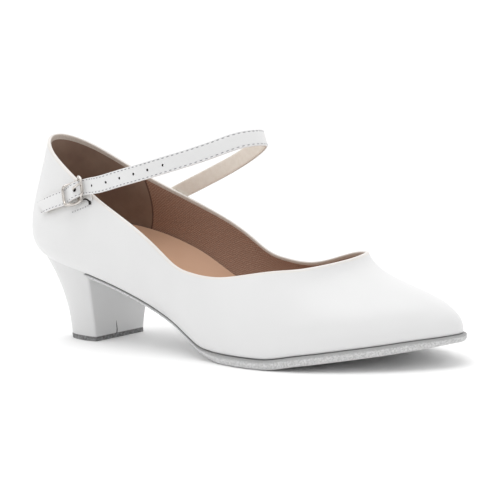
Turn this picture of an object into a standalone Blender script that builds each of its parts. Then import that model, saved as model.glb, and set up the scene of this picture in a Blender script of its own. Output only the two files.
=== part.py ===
"""A right-foot character shoe: a low-cut pump with a covered flared heel and a buckled instep strap.

Units are metres. The toe points along +X, the medial side lies at +Y and the buckled lateral side at -Y.
The origin is on the floor, under the middle of the heel's floor face.
"""

import math
from typing import NamedTuple

import bmesh
import bpy
import numpy as np
from mathutils import Vector

MM = 0.001
CLEARANCE = 0.3 * MM

# Last
LAST_LENGTH = 246 * MM
BALL_WIDTH = 80 * MM
WAIST_WIDTH = 50 * MM
SEAT_WIDTH = 54 * MM

# Height of the upper's lower edge above the floor
SEAT_HEIGHT = 46.5 * MM
TOE_SPRING = 10.1 * MM

# Topline
BACK_TOP_HEIGHT = 104 * MM
THROAT_HEIGHT = 45.4 * MM
VAMP_LENGTH = 47 * MM
THROAT_SWING = -6 * MM
THROAT_TILT = 6 * MM
COLLAR_WIDTH = 68.5 * MM

# How much of the tilt, medial side up, the topline has at shares of the way from the back to the throat
TILT_ALONG = (0.0, 0.50, 0.62, 0.72, 0.80, 1.0)
TILT_SHARE = (0.0, 0.0, -0.20, -0.17, 0.10, 1.0)

# Leather and boards
UPPER_WALL = 1.8 * MM
LASTING_MARGIN = 9 * MM
INSOLE_THICK = 1.8 * MM
SOCK_TOE_GAP = 1.5 * MM
FOREPART_SOLE_THICK = 4.3 * MM
SHANK_SOLE_THICK = 1.5 * MM
SOLE_LEDGE = 1.3 * MM
SHANK_LEDGE = 0.2 * MM
WAIST_ALONG = 108 * MM
TREAD_START = 146 * MM
TREAD_END = 171 * MM

# Sock padding over the board: how far its edges and middle rise, at shares of the last's length
PAD_ALONG = (0.0, 0.12, 0.28, 0.42, 0.55, 0.70, 1.0)
PAD_LATERAL = (4 * MM, 4 * MM, 3 * MM, 2 * MM, 1 * MM, 0.6 * MM, 0.4 * MM)
PAD_MEDIAL = (4 * MM, 9.5 * MM, 10.5 * MM, 7 * MM, 3 * MM, 1 * MM, 0.4 * MM)
PAD_MIDDLE = (2 * MM, 1.5 * MM, 3 * MM, 3 * MM, 1.5 * MM, 0.6 * MM, 0.4 * MM)

# Heel
BREAST_ALONG = 47 * MM
BREAST_SHARE = 0.92
HEEL_FLOOR_LENGTH = 29 * MM
HEEL_FLOOR_WIDTH = 33.5 * MM
HEEL_FLOOR_BREAST = 41 * MM
TOP_LIFT_THICK = 2.4 * MM

# Strap and buckle
STRAP_WIDTH = 8 * MM
STRAP_THICK = 1.6 * MM
STRAP_REACH = 138 * MM
STRAP_RISE = 97.3 * MM
STRAP_LEAN = math.radians(27)
HOLE_RADIUS = 1.1 * MM
BUCKLE_ALONG = 46.9 * MM
BUCKLE_HEIGHT = 75.1 * MM
BUCKLE_LENGTH = 14.8 * MM
BUCKLE_SLOPE = math.radians(23)
STRAP_SLOPE = math.radians(17)
TAIL_SLOPE = math.radians(14.8)
WIRE_RADIUS = 0.75 * MM
PRONG_RADIUS = 0.62 * MM
TAB_THICK = 0.6 * MM
TAB_WIDTH = 6.4 * MM
TAB_LENGTH = 8 * MM

# How far the tab drops towards the sole for each millimetre that it runs forwards
TAB_DROP = 0.6

# Number of faces round, up and along the larger pieces
COLUMNS = 92
ROWS = 10
HEEL_COLUMNS = 30
HEEL_ROWS = 8
SOLE_STATIONS = 44
DISH_STEPS = 6

WHITE_LEATHER = ("white_leather", (0.83, 0.83, 0.84), 0.42, 0.0)
HEEL_COVER = ("heel_cover", (0.80, 0.80, 0.81), 0.40, 0.0)
GREY_SUEDE = ("grey_suede", (0.38, 0.38, 0.39), 0.95, 0.0)
RUBBER = ("lift_rubber", (0.13, 0.13, 0.13), 0.80, 0.0)
TAN_SOCK = ("tan_sock", (0.50, 0.31, 0.22), 0.70, 0.0)
NICKEL = ("nickel", (0.72, 0.70, 0.67), 0.18, 1.0)


class Rib(NamedTuple):
    """One rib of the last, from the sole's edge up to the topline, given for both sides.

    along is the foot's place as a share of the last's length. lateral and medial are its distance from the
    centre line as shares of width, one of the last's named widths. top_along, top_out and top_up place the
    topline end: a share of the way from the back to the throat, a share of the collar's width, and a share
    of the climb from the throat to the back. rise is a length and flare its outward lean in degrees, for
    the wall as it leaves the sole; drop and lean are the same for the wall as it leaves the topline.
    """

    along: float
    width: float
    lateral: float
    medial: float
    top_along: float
    top_out: float
    top_up: float
    rise: float
    flare: float
    drop: float
    lean: float


RIBS = (
    Rib(0.000, SEAT_WIDTH, 0.00, 0.00, 0.016, 0.00, 1.00, 15 * MM, 58, 27 * MM, 15),
    Rib(0.014, SEAT_WIDTH, 0.24, 0.24, 0.033, 0.125, 0.97, 15 * MM, 57, 26 * MM, 14),
    Rib(0.055, SEAT_WIDTH, 0.41, 0.40, 0.085, 0.24, 0.863, 14 * MM, 55, 22 * MM, 13),
    Rib(0.120, SEAT_WIDTH, 0.50, 0.49, 0.183, 0.32, 0.667, 14 * MM, 51, 18 * MM, 10),
    Rib(0.210, SEAT_WIDTH, 0.50, 0.47, 0.294, 0.39, 0.471, 13 * MM, 44, 15 * MM, 8),
    Rib(0.317, WAIST_WIDTH, 0.52, 0.44, 0.412, 0.44, 0.285, 12 * MM, 38, 13 * MM, 5),
    Rib(0.423, WAIST_WIDTH, 0.55, 0.44, 0.523, 0.475, 0.074, 11 * MM, 36, 10 * MM, 5),
    Rib(0.475, WAIST_WIDTH, 0.604, 0.500, 0.578, 0.49, -0.050, 10 * MM, 34, 8 * MM, 8),
    Rib(0.528, BALL_WIDTH, 0.425, 0.355, 0.627, 0.50, -0.104, 10 * MM, 30, 8 * MM, 14),
    Rib(0.618, BALL_WIDTH, 0.500, 0.445, 0.714, 0.50, -0.132, 11 * MM, 22, 10 * MM, 22),
    Rib(0.700, BALL_WIDTH, 0.525, 0.490, 0.793, 0.475, -0.094, 12 * MM, 16, 12 * MM, 28),
    Rib(0.780, BALL_WIDTH, 0.488, 0.475, 0.865, 0.42, -0.053, 12 * MM, 12, 15 * MM, 26),
    Rib(0.854, BALL_WIDTH, 0.400, 0.385, 0.921, 0.345, -0.035, 14 * MM, 9, 16 * MM, 20),
    Rib(0.919, BALL_WIDTH, 0.280, 0.270, 0.966, 0.228, -0.015, 16 * MM, 7, 15 * MM, 14),
    Rib(0.967, BALL_WIDTH, 0.160, 0.150, 0.991, 0.122, -0.003, 18 * MM, 6, 14 * MM, 12),
    Rib(0.992, BALL_WIDTH, 0.070, 0.065, 0.999, 0.048, 0.000, 19 * MM, 6, 14 * MM, 10),
    Rib(1.000, BALL_WIDTH, 0.00, 0.00, 1.000, 0.00, 0.000, 19 * MM, 6, 14 * MM, 10),
)


class Level(NamedTuple):
    """One station of the bottom profile: its place as a share of the last's length, and how high the sole's
    underside lies there, as a share of the height of the last at the seat or at the toe."""

    along: float
    under: float


SEAT_LEVELS = (
    Level(0.00, 1.000),
    Level(0.10, 0.883),
    Level(0.20, 0.752),
    Level(0.325, 0.535),
    Level(0.43, 0.310),
    Level(0.49, 0.155),
    Level(0.54, 0.050),
)
TOE_LEVELS = (
    Level(0.775, 0.235),
    Level(0.85, 0.47),
    Level(0.92, 0.69),
    Level(1.000, 1.00),
)
TOE_SOLE_SHARE = 0.75
TOE_THIN_START = 0.93
SHANK_SOLE_END = 0.50

# Strap route from the buckle over the instep to the medial quarter, free between the two quarters: along and
# up as shares of the way from the buckle to the strap's front, out as a share of the collar's width.
STRAP_FREE = (
    (0.18, -0.430, 0.176),
    (0.326, -0.430, 0.284),
    (0.489, -0.425, 0.410),
    (0.693, -0.365, 0.596),
    (0.867, -0.230, 0.808),
    (0.98, -0.070, 0.985),
    (1.00, 0.060, 1.000),
    (0.93, 0.220, 0.940),
    (0.755, 0.355, 0.697),
    (0.571, 0.437, 0.445),
)
STRAP_MEDIAL_END = ((68 * MM, 73.2 * MM), (60 * MM, 70.2 * MM), (51 * MM, 66.6 * MM))
STRAP_TAIL_ALONG = 18.5 * MM


def smooth(knots, values, at, closed=False):
    """A cubic spline through values at knots, read at the places at.

    The second derivatives are solved for, so that slope and curvature run on from span to span. A closed
    spline's last knot is its first again; an open one has no curvature at its ends.
    """
    knots = np.asarray(knots, float)
    values = np.asarray(values, float)
    values = values.reshape(len(values), -1)
    spans = np.diff(knots)
    count = len(spans) if closed else len(knots)
    left, right = np.zeros((count, count)), np.zeros((count, values.shape[1]))
    for i in range(count):
        if not closed and i in (0, count - 1):
            left[i, i] = 1
            continue
        before, after = spans[i - 1], spans[i]
        left[i, i - 1] += before
        left[i, i] += 2 * (before + after)
        left[i, (i + 1) % count] += after
        rise_after = (values[(i + 1) % count] - values[i]) / after
        right[i] = 6 * (rise_after - (values[i] - values[i - 1]) / before)
    bend = np.linalg.solve(left, right)
    if closed:
        bend, values = np.vstack([bend, bend[:1]]), np.vstack([values, values[:1]])
        at = np.mod(at, knots[-1])
    at = np.clip(at, knots[0], knots[-1])
    i = np.clip(np.searchsorted(knots, at, side="right") - 1, 0, len(spans) - 1)
    span = spans[i][:, None]
    done = (at - knots[i])[:, None]
    left_over = span - done
    line = (values[i] / span - bend[i] * span / 6) * left_over
    line += (values[i + 1] / span - bend[i + 1] * span / 6) * done
    return line + (bend[i] * left_over**3 + bend[i + 1] * done**3) / (6 * span)


def steady(knots, values, at):
    """A curve through values that never overshoots: flat stretches stay flat, as under the tread."""
    knots, values = np.asarray(knots, float), np.asarray(values, float)
    spans = np.diff(knots)
    slopes = np.diff(values) / spans
    tangent = np.zeros(len(knots))
    tangent[0], tangent[-1] = slopes[0], slopes[-1]
    for i in range(1, len(slopes)):
        if slopes[i - 1] * slopes[i] > 0:
            weight = (2 * spans[i] + spans[i - 1], spans[i] + 2 * spans[i - 1])
            tangent[i] = sum(weight) / (weight[0] / slopes[i - 1] + weight[1] / slopes[i])
    at = np.clip(at, knots[0], knots[-1])
    i = np.clip(np.searchsorted(knots, at, side="right") - 1, 0, len(spans) - 1)
    share = (at - knots[i]) / spans[i]
    ease = share * share * (3 - 2 * share)
    start_pull = share * (1 - share) ** 2 * spans[i] * tangent[i]
    end_pull = share * share * (share - 1) * spans[i] * tangent[i + 1]
    return values[i] + (values[i + 1] - values[i]) * ease + start_pull + end_pull


def unit(vectors):
    """The vectors at length 1."""
    return vectors / np.linalg.norm(vectors, axis=-1, keepdims=True)


def sole_thickness(along):
    """Thin under the shank, full under the tread and up to the toe's last part, where it thins again."""
    toe_part = TOE_THIN_START * LAST_LENGTH
    knots = [0, SHANK_SOLE_END * LAST_LENGTH, TREAD_START, TREAD_END, toe_part, LAST_LENGTH]
    full, thin = FOREPART_SOLE_THICK, SHANK_SOLE_THICK
    return steady(knots, [thin, thin, full, full, full * 0.97, full * TOE_SOLE_SHARE], along)


def seat_level(along):
    """Height of the last's bottom above the floor, where the upper's lower edge runs."""
    knots, heights = [], []
    top_of_seat = SEAT_HEIGHT - SHANK_SOLE_THICK - CLEARANCE
    for level in SEAT_LEVELS:
        knots.append(level.along * LAST_LENGTH)
        heights.append(level.under * top_of_seat)
    knots += [TREAD_START, TREAD_END]
    heights += [0, 0]
    for level in TOE_LEVELS:
        knots.append(level.along * LAST_LENGTH)
        heights.append(level.under * TOE_SPRING)
    return steady(knots, heights, along) + sole_thickness(along) + CLEARANCE


def rib_rows():
    """The feet, tops and other columns of all ribs, round the last from the back by the lateral side."""
    throat_along = LAST_LENGTH - VAMP_LENGTH
    climb = BACK_TOP_HEIGHT - THROAT_HEIGHT
    rows = []
    sides = [(rib, -1, rib.lateral) for rib in RIBS]
    sides += [(rib, 1, rib.medial) for rib in RIBS[-2:0:-1]]
    for rib, side, share in sides:
        foot_along = rib.along * LAST_LENGTH
        foot = (foot_along, side * share * rib.width, float(seat_level(foot_along)))
        swing = THROAT_SWING * max(0.0, (rib.top_along - 0.8) / 0.2) ** 1.5
        top = (rib.top_along * throat_along, side * rib.top_out * COLLAR_WIDTH + swing)
        tilt = THROAT_TILT * side * rib.top_out * steady(TILT_ALONG, TILT_SHARE, rib.top_along)
        top_height = THROAT_HEIGHT + rib.top_up * climb + tilt
        rows.append((*foot, *top, top_height, rib.rise, rib.flare, rib.drop, rib.lean))
    return np.array(rows)


def outward(ring):
    """Horizontal directions that point out of a closed ring that runs back, lateral, toe, medial."""
    along = np.roll(ring, -1, axis=0) - np.roll(ring, 1, axis=0)
    return unit(np.stack([along[:, 1], -along[:, 0], np.zeros(len(ring))], axis=-1))


def ribs_at(count):
    """Foot, top and the two inner handles of count ribs, evenly spaced round the last's lower edge."""
    rows = rib_rows()
    steps = np.linalg.norm(np.diff(np.vstack([rows, rows[:1]])[:, :2], axis=0), axis=1)
    knots = np.concatenate([[0], np.cumsum(steps)])
    values = smooth(knots, rows, np.linspace(0, knots[-1], count, endpoint=False), closed=True)
    foot, top = values[:, :3], values[:, 3:6]
    foot[:, 2] = seat_level(foot[:, 0])
    rise, flare = values[:, 6:7], np.radians(values[:, 7:8])
    drop, lean = values[:, 8:9], np.radians(values[:, 9:10])
    up = np.array([0, 0, 1])
    low = foot + rise * (np.cos(flare) * up + np.sin(flare) * outward(foot))
    high = top + drop * (-np.cos(lean) * up + np.sin(lean) * outward(top))
    return foot, low, high, top


def wall_rings(count, rows):
    """The upper's outer face, as rings from the sole's edge to the topline. Each rib is a cubic Bezier."""
    foot, low, high, top = ribs_at(count)
    rings = []
    for share in np.linspace(0, 1, rows):
        left = 1 - share
        ring = left**3 * foot + 3 * left**2 * share * low
        rings.append(ring + 3 * left * share**2 * high + share**3 * top)
    return rings


def inner_ring(ring, width):
    """A ring set in from a sole ring by width, towards the last's spine."""
    spine = ring.copy()
    spine[:, 0] = np.clip(ring[:, 0], SEAT_WIDTH / 2, LAST_LENGTH - BALL_WIDTH / 2)
    spine[:, 1] = 0
    moved = ring + width * unit(spine - ring) * [1, 1, 0]
    moved[:, 2] = seat_level(moved[:, 0])
    return moved


def sole_edges(shank_out, tread_out):
    """The sole's lateral and medial edge from back to toe. They stand out from the last by one width up to
    the waist and by the other from the tread on."""
    ring = ribs_at(720)[0]
    out = np.interp(ring[:, 0], (WAIST_ALONG, TREAD_START), (shank_out, tread_out))
    ring = ring + out[:, None] * outward(ring)
    toe, back = int(ring[:, 0].argmax()), int(ring[:, 0].argmin())
    lateral = ring[back : toe + 1]
    medial = np.vstack([ring[toe:], ring[: back + 1]])[::-1]
    return lateral, medial


def side_point(side, along, height):
    """The upper's outer face at a place along and above the floor: the point, and the way out of it."""
    rings = np.array(wall_rings(400, 60))
    points = rings[:, (rings[0, :, 1] * side) > 0].reshape(-1, 3)
    place = points[np.argmin((points[:, 0] - along) ** 2 + (points[:, 2] - height) ** 2)]
    near = points[np.linalg.norm(points - place, axis=1) < 4 * MM]
    centre = near.mean(axis=0)
    normal = np.linalg.svd(near - centre)[2][2]
    normal = normal * np.sign(normal[1] * side)
    lift = (centre - [along, 0, height]) @ (normal * [1, 0, 1]) / normal[1]
    return np.array([along, centre[1] + lift, height]), normal


def material(name, colour, roughness, metallic):
    """A plain Principled material."""
    made = bpy.data.materials.get(name)
    if made is None:
        made = bpy.data.materials.new(name)
        made.use_nodes = True
        shader = made.node_tree.nodes["Principled BSDF"]
        shader.inputs["Base Color"].default_value = (*colour, 1)
        shader.inputs["Roughness"].default_value = roughness
        shader.inputs["Metallic"].default_value = metallic
    return made


def piece(name, finish, points, faces):
    """An object from points and faces, smooth but for its hard edges, moved into the shoe's own frame."""
    mesh = bpy.data.meshes.new(name)
    mesh.from_pydata((np.asarray(points) - [heel_centre(), 0, 0]).tolist(), [], faces)
    mesh.materials.append(material(*finish))
    shape = bmesh.new()
    shape.from_mesh(mesh)
    bmesh.ops.recalc_face_normals(shape, faces=shape.faces)
    shape.to_mesh(mesh)
    shape.free()
    mesh.shade_smooth()
    mesh.set_sharp_from_angle(angle=math.radians(40))
    obj = bpy.data.objects.new(name, mesh)
    bpy.context.scene.collection.objects.link(obj)
    return obj


def heel_centre():
    """Where the middle of the heel's floor face lies along the last, which is the shoe's origin."""
    return HEEL_FLOOR_BREAST - HEEL_FLOOR_LENGTH / 2


def ring_faces(rings, columns, closed=True):
    """Quads that join each ring of points to the next."""
    faces = []
    for row in range(rings - 1):
        for column in range(columns if closed else columns - 1):
            after = (column + 1) % columns
            low, high = row * columns, (row + 1) * columns
            faces.append((low + column, low + after, high + after, high + column))
    return faces


def rounded(obj, width, segments=1):
    """Breaks an object's hard edges."""
    bevel = obj.modifiers.new("edges", "BEVEL")
    bevel.width = width
    bevel.segments = segments
    bevel.limit_method = "ANGLE"
    bevel.angle_limit = math.radians(50)
    return obj


def plate(name, finish, lateral, medial, dish=None):
    """A board between two edges.

    lateral and medial hold the upper and lower edge of each side as (top, under) rows of points at matching
    stations. dish gives the height of the upper face's middle where it is hollow.
    """
    across = np.linspace(0, 1, DISH_STEPS + 1) if dish is not None else np.array([0.0, 1.0])
    lines = []
    for share in across:
        line = lateral[0] + (medial[0] - lateral[0]) * share
        if dish is not None:
            edge = abs(2 * share - 1) ** 2.4
            line[:, 2] = dish + (line[:, 2] - dish) * edge
        lines.append(line)
    lines += [medial[1], lateral[1]]
    count, loop = len(lateral[0]), len(lines)
    points = np.vstack(lines)
    faces = []
    for i in range(count - 1):
        for a in range(loop):
            b = (a + 1) % loop
            faces.append((a * count + i, b * count + i, b * count + i + 1, a * count + i + 1))
    for end in (0, count - 1):
        faces.append(tuple(a * count + end for a in range(loop)))
    obj = piece(name, finish, points, faces)
    shape = bmesh.new()
    shape.from_mesh(obj.data)
    bmesh.ops.remove_doubles(shape, verts=shape.verts, dist=0.05 * MM)
    bmesh.ops.recalc_face_normals(shape, faces=shape.faces)
    shape.to_mesh(obj.data)
    shape.free()
    return obj


def eased_stations(start, end, count):
    """Places from start to end, close together towards the rounded toe end."""
    turn = np.linspace(0, math.pi / 2, count)
    return start + (end - start) * np.sin(turn) ** 1.15


def make_upper():
    """The vamp and quarters as one wall, open at the collar and, inside its lasted margin, underneath."""
    rings = wall_rings(COLUMNS, ROWS)
    rings.insert(0, inner_ring(rings[0], LASTING_MARGIN))
    points = np.vstack(rings)
    upper = piece("upper", WHITE_LEATHER, points, ring_faces(len(rings), COLUMNS))
    wall = upper.modifiers.new("wall", "SOLIDIFY")
    wall.thickness = UPPER_WALL
    wall.offset = -1
    wall.use_even_offset = True
    wall.use_quality_normals = True
    return upper


def climbed_edges(stations, climb_lateral, climb_medial, inset):
    """The lines on both sides that stand a climb above the upper's lower edge, inset from its outer face.

    The climbs are heights at the knots of PAD_ALONG. Both lines are read at the stations, which are shares
    of the way from their back end to their toe end.
    """
    rings = np.array(wall_rings(240, 50))
    wrapped = np.concatenate([rings[:, -1:], rings, rings[:, :1]], axis=1)
    round_way = np.gradient(wrapped, axis=1)[:, 1:-1]
    rings = rings - inset * unit(np.cross(round_way, np.gradient(rings, axis=0)))
    lines = []
    for side, climbs in ((-1, climb_lateral), (1, climb_medial)):
        columns = [c for c in range(rings.shape[1]) if rings[0, c, 1] * side >= -0.2 * MM]
        line = []
        for c in columns:
            path = rings[:, c]
            height = path[:, 2] - seat_level(path[:, 0])
            wanted = steady(np.array(PAD_ALONG) * LAST_LENGTH, climbs, path[0, 0])
            line.append([np.interp(wanted, height, path[:, axis]) for axis in range(3)])
        line = np.array(line)
        lines.append(line[np.argsort(line[:, 0])])
    start, end = max(line[0, 0] for line in lines), min(line[-1, 0] for line in lines) - SOCK_TOE_GAP
    places = start + (end - start) * stations
    edges = []
    for line in lines:
        sideways = np.interp(places, line[:, 0], line[:, 1])
        sideways[[0, -1]] = 0
        edges.append(np.stack([places, sideways, np.interp(places, line[:, 0], line[:, 2])], axis=-1))
    return edges


def rounded_ends(count):
    """Shares from 0 to 1 that lie close together at both ends."""
    turn = np.linspace(0, math.pi, count)
    return (1 - np.cos(turn)) / 2


def make_insole():
    """The padded sock on the upper's turned-in margin: it climbs the wall, most under the medial arch."""
    base = UPPER_WALL + CLEARANCE
    inset = UPPER_WALL + 2 * CLEARANCE
    stations = rounded_ends(SOLE_STATIONS)
    under = climbed_edges(stations, [base] * len(PAD_ALONG), [base] * len(PAD_ALONG), inset)
    lateral = [base + INSOLE_THICK + pad for pad in PAD_LATERAL]
    medial = [base + INSOLE_THICK + pad for pad in PAD_MEDIAL]
    top = climbed_edges(stations, lateral, medial, inset)
    places = top[0][:, 0]
    middle = steady(np.array(PAD_ALONG) * LAST_LENGTH, PAD_MIDDLE, places)
    dish = seat_level(places) + base + INSOLE_THICK + middle
    rim = (top[0][:, 2] + top[1][:, 2]) / 2
    open_width = np.clip((top[1][:, 1] - top[0][:, 1]) / (SEAT_WIDTH / 2), 0, 1)
    dish = rim + (dish - rim) * open_width
    return plate("insole", TAN_SOCK, (top[0], under[0]), (top[1], under[1]), dish)


def make_outsole():
    """Suede-faced sole from the heel's breast to the toe, with a narrow ledge round the upper."""
    lateral, medial = sole_edges(SHANK_LEDGE, SOLE_LEDGE)
    stations = eased_stations(BREAST_ALONG + CLEARANCE, lateral[-1, 0], SOLE_STATIONS)
    tread = np.array([TREAD_START, (TREAD_START + TREAD_END) / 2, TREAD_END])
    stations = np.unique(np.concatenate([stations, tread]))
    top = seat_level(stations) - CLEARANCE
    edges = []
    for edge in (lateral, medial):
        sideways = np.interp(stations, edge[:, 0], edge[:, 1])
        under = top - sole_thickness(stations)
        edges.append([np.stack([stations, sideways, heights], axis=-1) for heights in (top, under)])
    return rounded(plate("outsole", GREY_SUEDE, *edges), 0.5 * MM)


def heel_outlines():
    """The heel's outline under the seat and on the floor, each from the lateral breast corner round the
    back and then along the breast."""
    lateral, medial = sole_edges(-CLEARANCE, -CLEARANCE)
    turn = np.linspace(0, math.pi, HEEL_COLUMNS)
    across = np.linspace(1, -1, HEEL_COLUMNS // 3)[1:-1]
    back = lateral[0, 0]
    along = back + (BREAST_ALONG - back) * (1 - np.sin(turn) ** 1.2)
    sideways = np.where(
        turn < math.pi / 2,
        np.interp(along, lateral[:, 0], lateral[:, 1]),
        np.interp(along, medial[:, 0], medial[:, 1]),
    )
    sideways = sideways * (1 - (1 - BREAST_SHARE) * ((along - back) / (BREAST_ALONG - back)) ** 2)
    corner = (sideways[0], sideways[-1])
    line = np.interp(across, (-1, 1), corner)
    seat = np.stack([np.append(along, 0 * across + BREAST_ALONG), np.append(sideways, line)], axis=-1)
    half, length = HEEL_FLOOR_WIDTH / 2, HEEL_FLOOR_LENGTH
    bulge = -half * np.sign(np.cos(turn)) * abs(np.cos(turn)) ** 0.8
    arc = np.stack([-length * np.sin(turn) ** 0.9, bulge], axis=-1)
    breast = np.stack([0 * across, across * half], axis=-1)
    floor = np.vstack([arc, breast]) + [length / 2, 0]
    return seat, floor + [heel_centre(), 0]


def heel_ring(share):
    """The heel's ring at a share of the way down from the seat to the floor. The back sweeps in fast under
    the seat and then drops, and the breast runs down nearly straight."""
    seat, floor = heel_outlines()
    behind = np.clip((BREAST_ALONG - seat[:, 0]) / BREAST_ALONG, 0, 1)[:, None]
    eased = 1 - (1 - share) ** (1.5 + 0.8 * behind)
    plan = seat + (floor - seat) * eased
    top = seat_level(seat[:, 0]) - CLEARANCE
    return np.column_stack([plan, top * (1 - share)])


def closed_block(name, finish, rings):
    """A solid from stacked rings, its two flat ends filled with triangles."""
    count = len(rings[0])
    points = np.vstack(rings)
    faces = ring_faces(len(rings), count)
    for base in (0, (len(rings) - 1) * count):
        faces.append(tuple(range(base, base + count)))
    obj = piece(name, finish, points, faces)
    shape = bmesh.new()
    shape.from_mesh(obj.data)
    ends = [face for face in shape.faces if len(face.verts) > 4]
    bmesh.ops.triangulate(shape, faces=ends, ngon_method="BEAUTY")
    bmesh.ops.recalc_face_normals(shape, faces=shape.faces)
    shape.to_mesh(obj.data)
    shape.free()
    return obj


def make_heel():
    """The covered heel block and the rubber lift that it stands on."""
    height = SEAT_HEIGHT
    lift_share = 1 - TOP_LIFT_THICK / height
    block_end = lift_share - CLEARANCE / height
    block_rings = [heel_ring(share) for share in np.linspace(0, 1, HEEL_ROWS) ** 0.9 * block_end]
    bottom = block_rings[-1]
    bottom[:, 2] = TOP_LIFT_THICK + CLEARANCE
    block = closed_block("heel_block", HEEL_COVER, block_rings)
    upper_ring, lower_ring = heel_ring(lift_share), heel_ring(1.0)
    upper_ring[:, 2] = TOP_LIFT_THICK
    lower_ring[:, 2] = 0
    lift = closed_block("top_lift", RUBBER, [upper_ring, lower_ring])
    return rounded(block, 0.5 * MM), rounded(lift, 0.3 * MM)


def buckle_frame_axes(slope=BUCKLE_SLOPE):
    """The buckle's middle on the quarter, the way along at a slope, the way across, and the way out."""
    foot, out = side_point(-1, BUCKLE_ALONG, BUCKLE_HEIGHT)
    along = np.array([math.cos(slope), 0, math.sin(slope)])
    along = unit(along - (along @ out) * out)
    return foot, along, np.cross(along, out) * -1, out


def bar_height():
    """How far the buckle's middle bar stands off the quarter: over the tab and a running gap."""
    return CLEARANCE + TAB_THICK + CLEARANCE + WIRE_RADIUS


def strap_over_bar():
    """How far the strap's middle stands off the quarter where it rides over the bar and the tab's eye."""
    return bar_height() + WIRE_RADIUS + CLEARANCE + TAB_THICK + CLEARANCE + STRAP_THICK / 2


def strap_under_ends():
    """How far the strap's middle stands off the quarter where it dips under the frame's two ends."""
    return strap_over_bar() - 1.6 * MM


def strap_line():
    """The strap's middle line, its width direction and its arc length from the tail to the medial end."""
    foot, along, across, out = buckle_frame_axes(STRAP_SLOPE)
    half = BUCKLE_LENGTH / 2
    points, widths = [], []
    rest = CLEARANCE + STRAP_THICK / 2
    tail_height = BUCKLE_HEIGHT - (BUCKLE_ALONG - STRAP_TAIL_ALONG) * math.tan(TAIL_SLOPE)
    for share in (0, 0.5):
        place = STRAP_TAIL_ALONG + share * (BUCKLE_ALONG - half - STRAP_TAIL_ALONG)
        height = tail_height + share * (BUCKLE_HEIGHT - half * math.sin(STRAP_SLOPE) - tail_height)
        point, normal = side_point(-1, place, height)
        points.append(point + normal * (rest + share * STRAP_THICK))
        widths.append(unit(np.cross(normal, along)))
    for step, lift in ((-half, strap_under_ends()), (0, strap_over_bar()), (half, strap_under_ends())):
        points.append(foot + along * step + out * lift)
        widths.append(across)
    span = np.array([STRAP_REACH - BUCKLE_ALONG, COLLAR_WIDTH, STRAP_RISE - BUCKLE_HEIGHT])
    for i, share in enumerate(STRAP_FREE):
        point = np.array([BUCKLE_ALONG, 0, BUCKLE_HEIGHT]) + np.array(share) * span
        lean = STRAP_LEAN * math.sin(math.pi * (i + 0.5) / len(STRAP_FREE)) ** 1.5
        points.append(point)
        widths.append(np.array([-math.sin(lean), 0, math.cos(lean)]))
    (start_along, start_up), (end_along, end_up) = STRAP_MEDIAL_END[0], STRAP_MEDIAL_END[-1]
    backward = np.array([end_along - start_along, 0, end_up - start_up])
    for place, height in STRAP_MEDIAL_END:
        point, normal = side_point(1, place, height)
        points.append(point + normal * rest)
        widths.append(unit(np.cross(normal, backward)))
    points = np.array(points)
    knots = np.concatenate([[0], np.cumsum(np.linalg.norm(np.diff(points, axis=0), axis=1))])
    places = np.linspace(0, knots[-1], 90)
    line = smooth(knots, points, places)
    wide = smooth(knots, np.array(widths), places)
    tangent = unit(np.gradient(line, axis=0))
    wide = unit(wide - (wide * tangent).sum(axis=1, keepdims=True) * tangent)
    return line, wide, np.cross(tangent, wide)


def strip(name, finish, line, wide, thick, width, thickness):
    """A flat strip with softened edges along a line, closed at both ends."""
    profile = (
        (0.5, 0.28), (0.47, 0.5), (-0.47, 0.5), (-0.5, 0.28),
        (-0.5, -0.28), (-0.47, -0.5), (0.47, -0.5), (0.5, -0.28),
    )
    rings = []
    for side, deep in profile:
        rings.append(line + wide * side * width + thick * deep * thickness)
    rings = np.array(rings).transpose(1, 0, 2)
    count = len(profile)
    faces = ring_faces(len(rings), count)
    last = (len(rings) - 1) * count
    faces += [tuple(range(count)), tuple(range(last, last + count))]
    return piece(name, finish, rings.reshape(-1, 3), faces)


def make_strap():
    """The instep strap, with the hole that the buckle's prong stands in."""
    line, wide, thick = strap_line()
    strap = strip("ankle_strap", WHITE_LEATHER, line, wide, thick, STRAP_WIDTH, STRAP_THICK)
    start = prong_route()[0]
    cutter_mesh = bpy.data.meshes.new("prong_hole")
    shape = bmesh.new()
    bmesh.ops.create_cone(
        shape, cap_ends=True, segments=12, radius1=HOLE_RADIUS, radius2=HOLE_RADIUS, depth=4 * STRAP_THICK
    )
    shape.to_mesh(cutter_mesh)
    shape.free()
    cutter = bpy.data.objects.new("prong_hole", cutter_mesh)
    bpy.context.scene.collection.objects.link(cutter)
    cutter.location = start - [heel_centre(), 0, 0]
    cutter.rotation_mode = "QUATERNION"
    cutter.rotation_quaternion = Vector(buckle_frame_axes()[3]).to_track_quat("Z", "Y")
    cutter.hide_render = True
    cutter.display_type = "WIRE"
    cut = strap.modifiers.new("prong hole", "BOOLEAN")
    cut.operation = "DIFFERENCE"
    cut.object = cutter
    return strap


def prong_route():
    """The prong's line: out of the strap's hole, over the strap and onto the frame's front end."""
    foot, along, across, out = buckle_frame_axes()
    half = BUCKLE_LENGTH / 2
    low = strap_over_bar()
    rest = strap_under_ends() + STRAP_THICK / 2 + 3 * CLEARANCE + 3 * WIRE_RADIUS
    start = 1.6 * MM
    return [
        foot + along * start + out * low,
        foot + along * (start + 0.3 * MM) + out * (low + 1.5 * MM),
        foot + along * (0.5 * half) + out * (rest - 0.2 * MM),
        foot + along * (half + WIRE_RADIUS) + out * rest,
    ]


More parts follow.
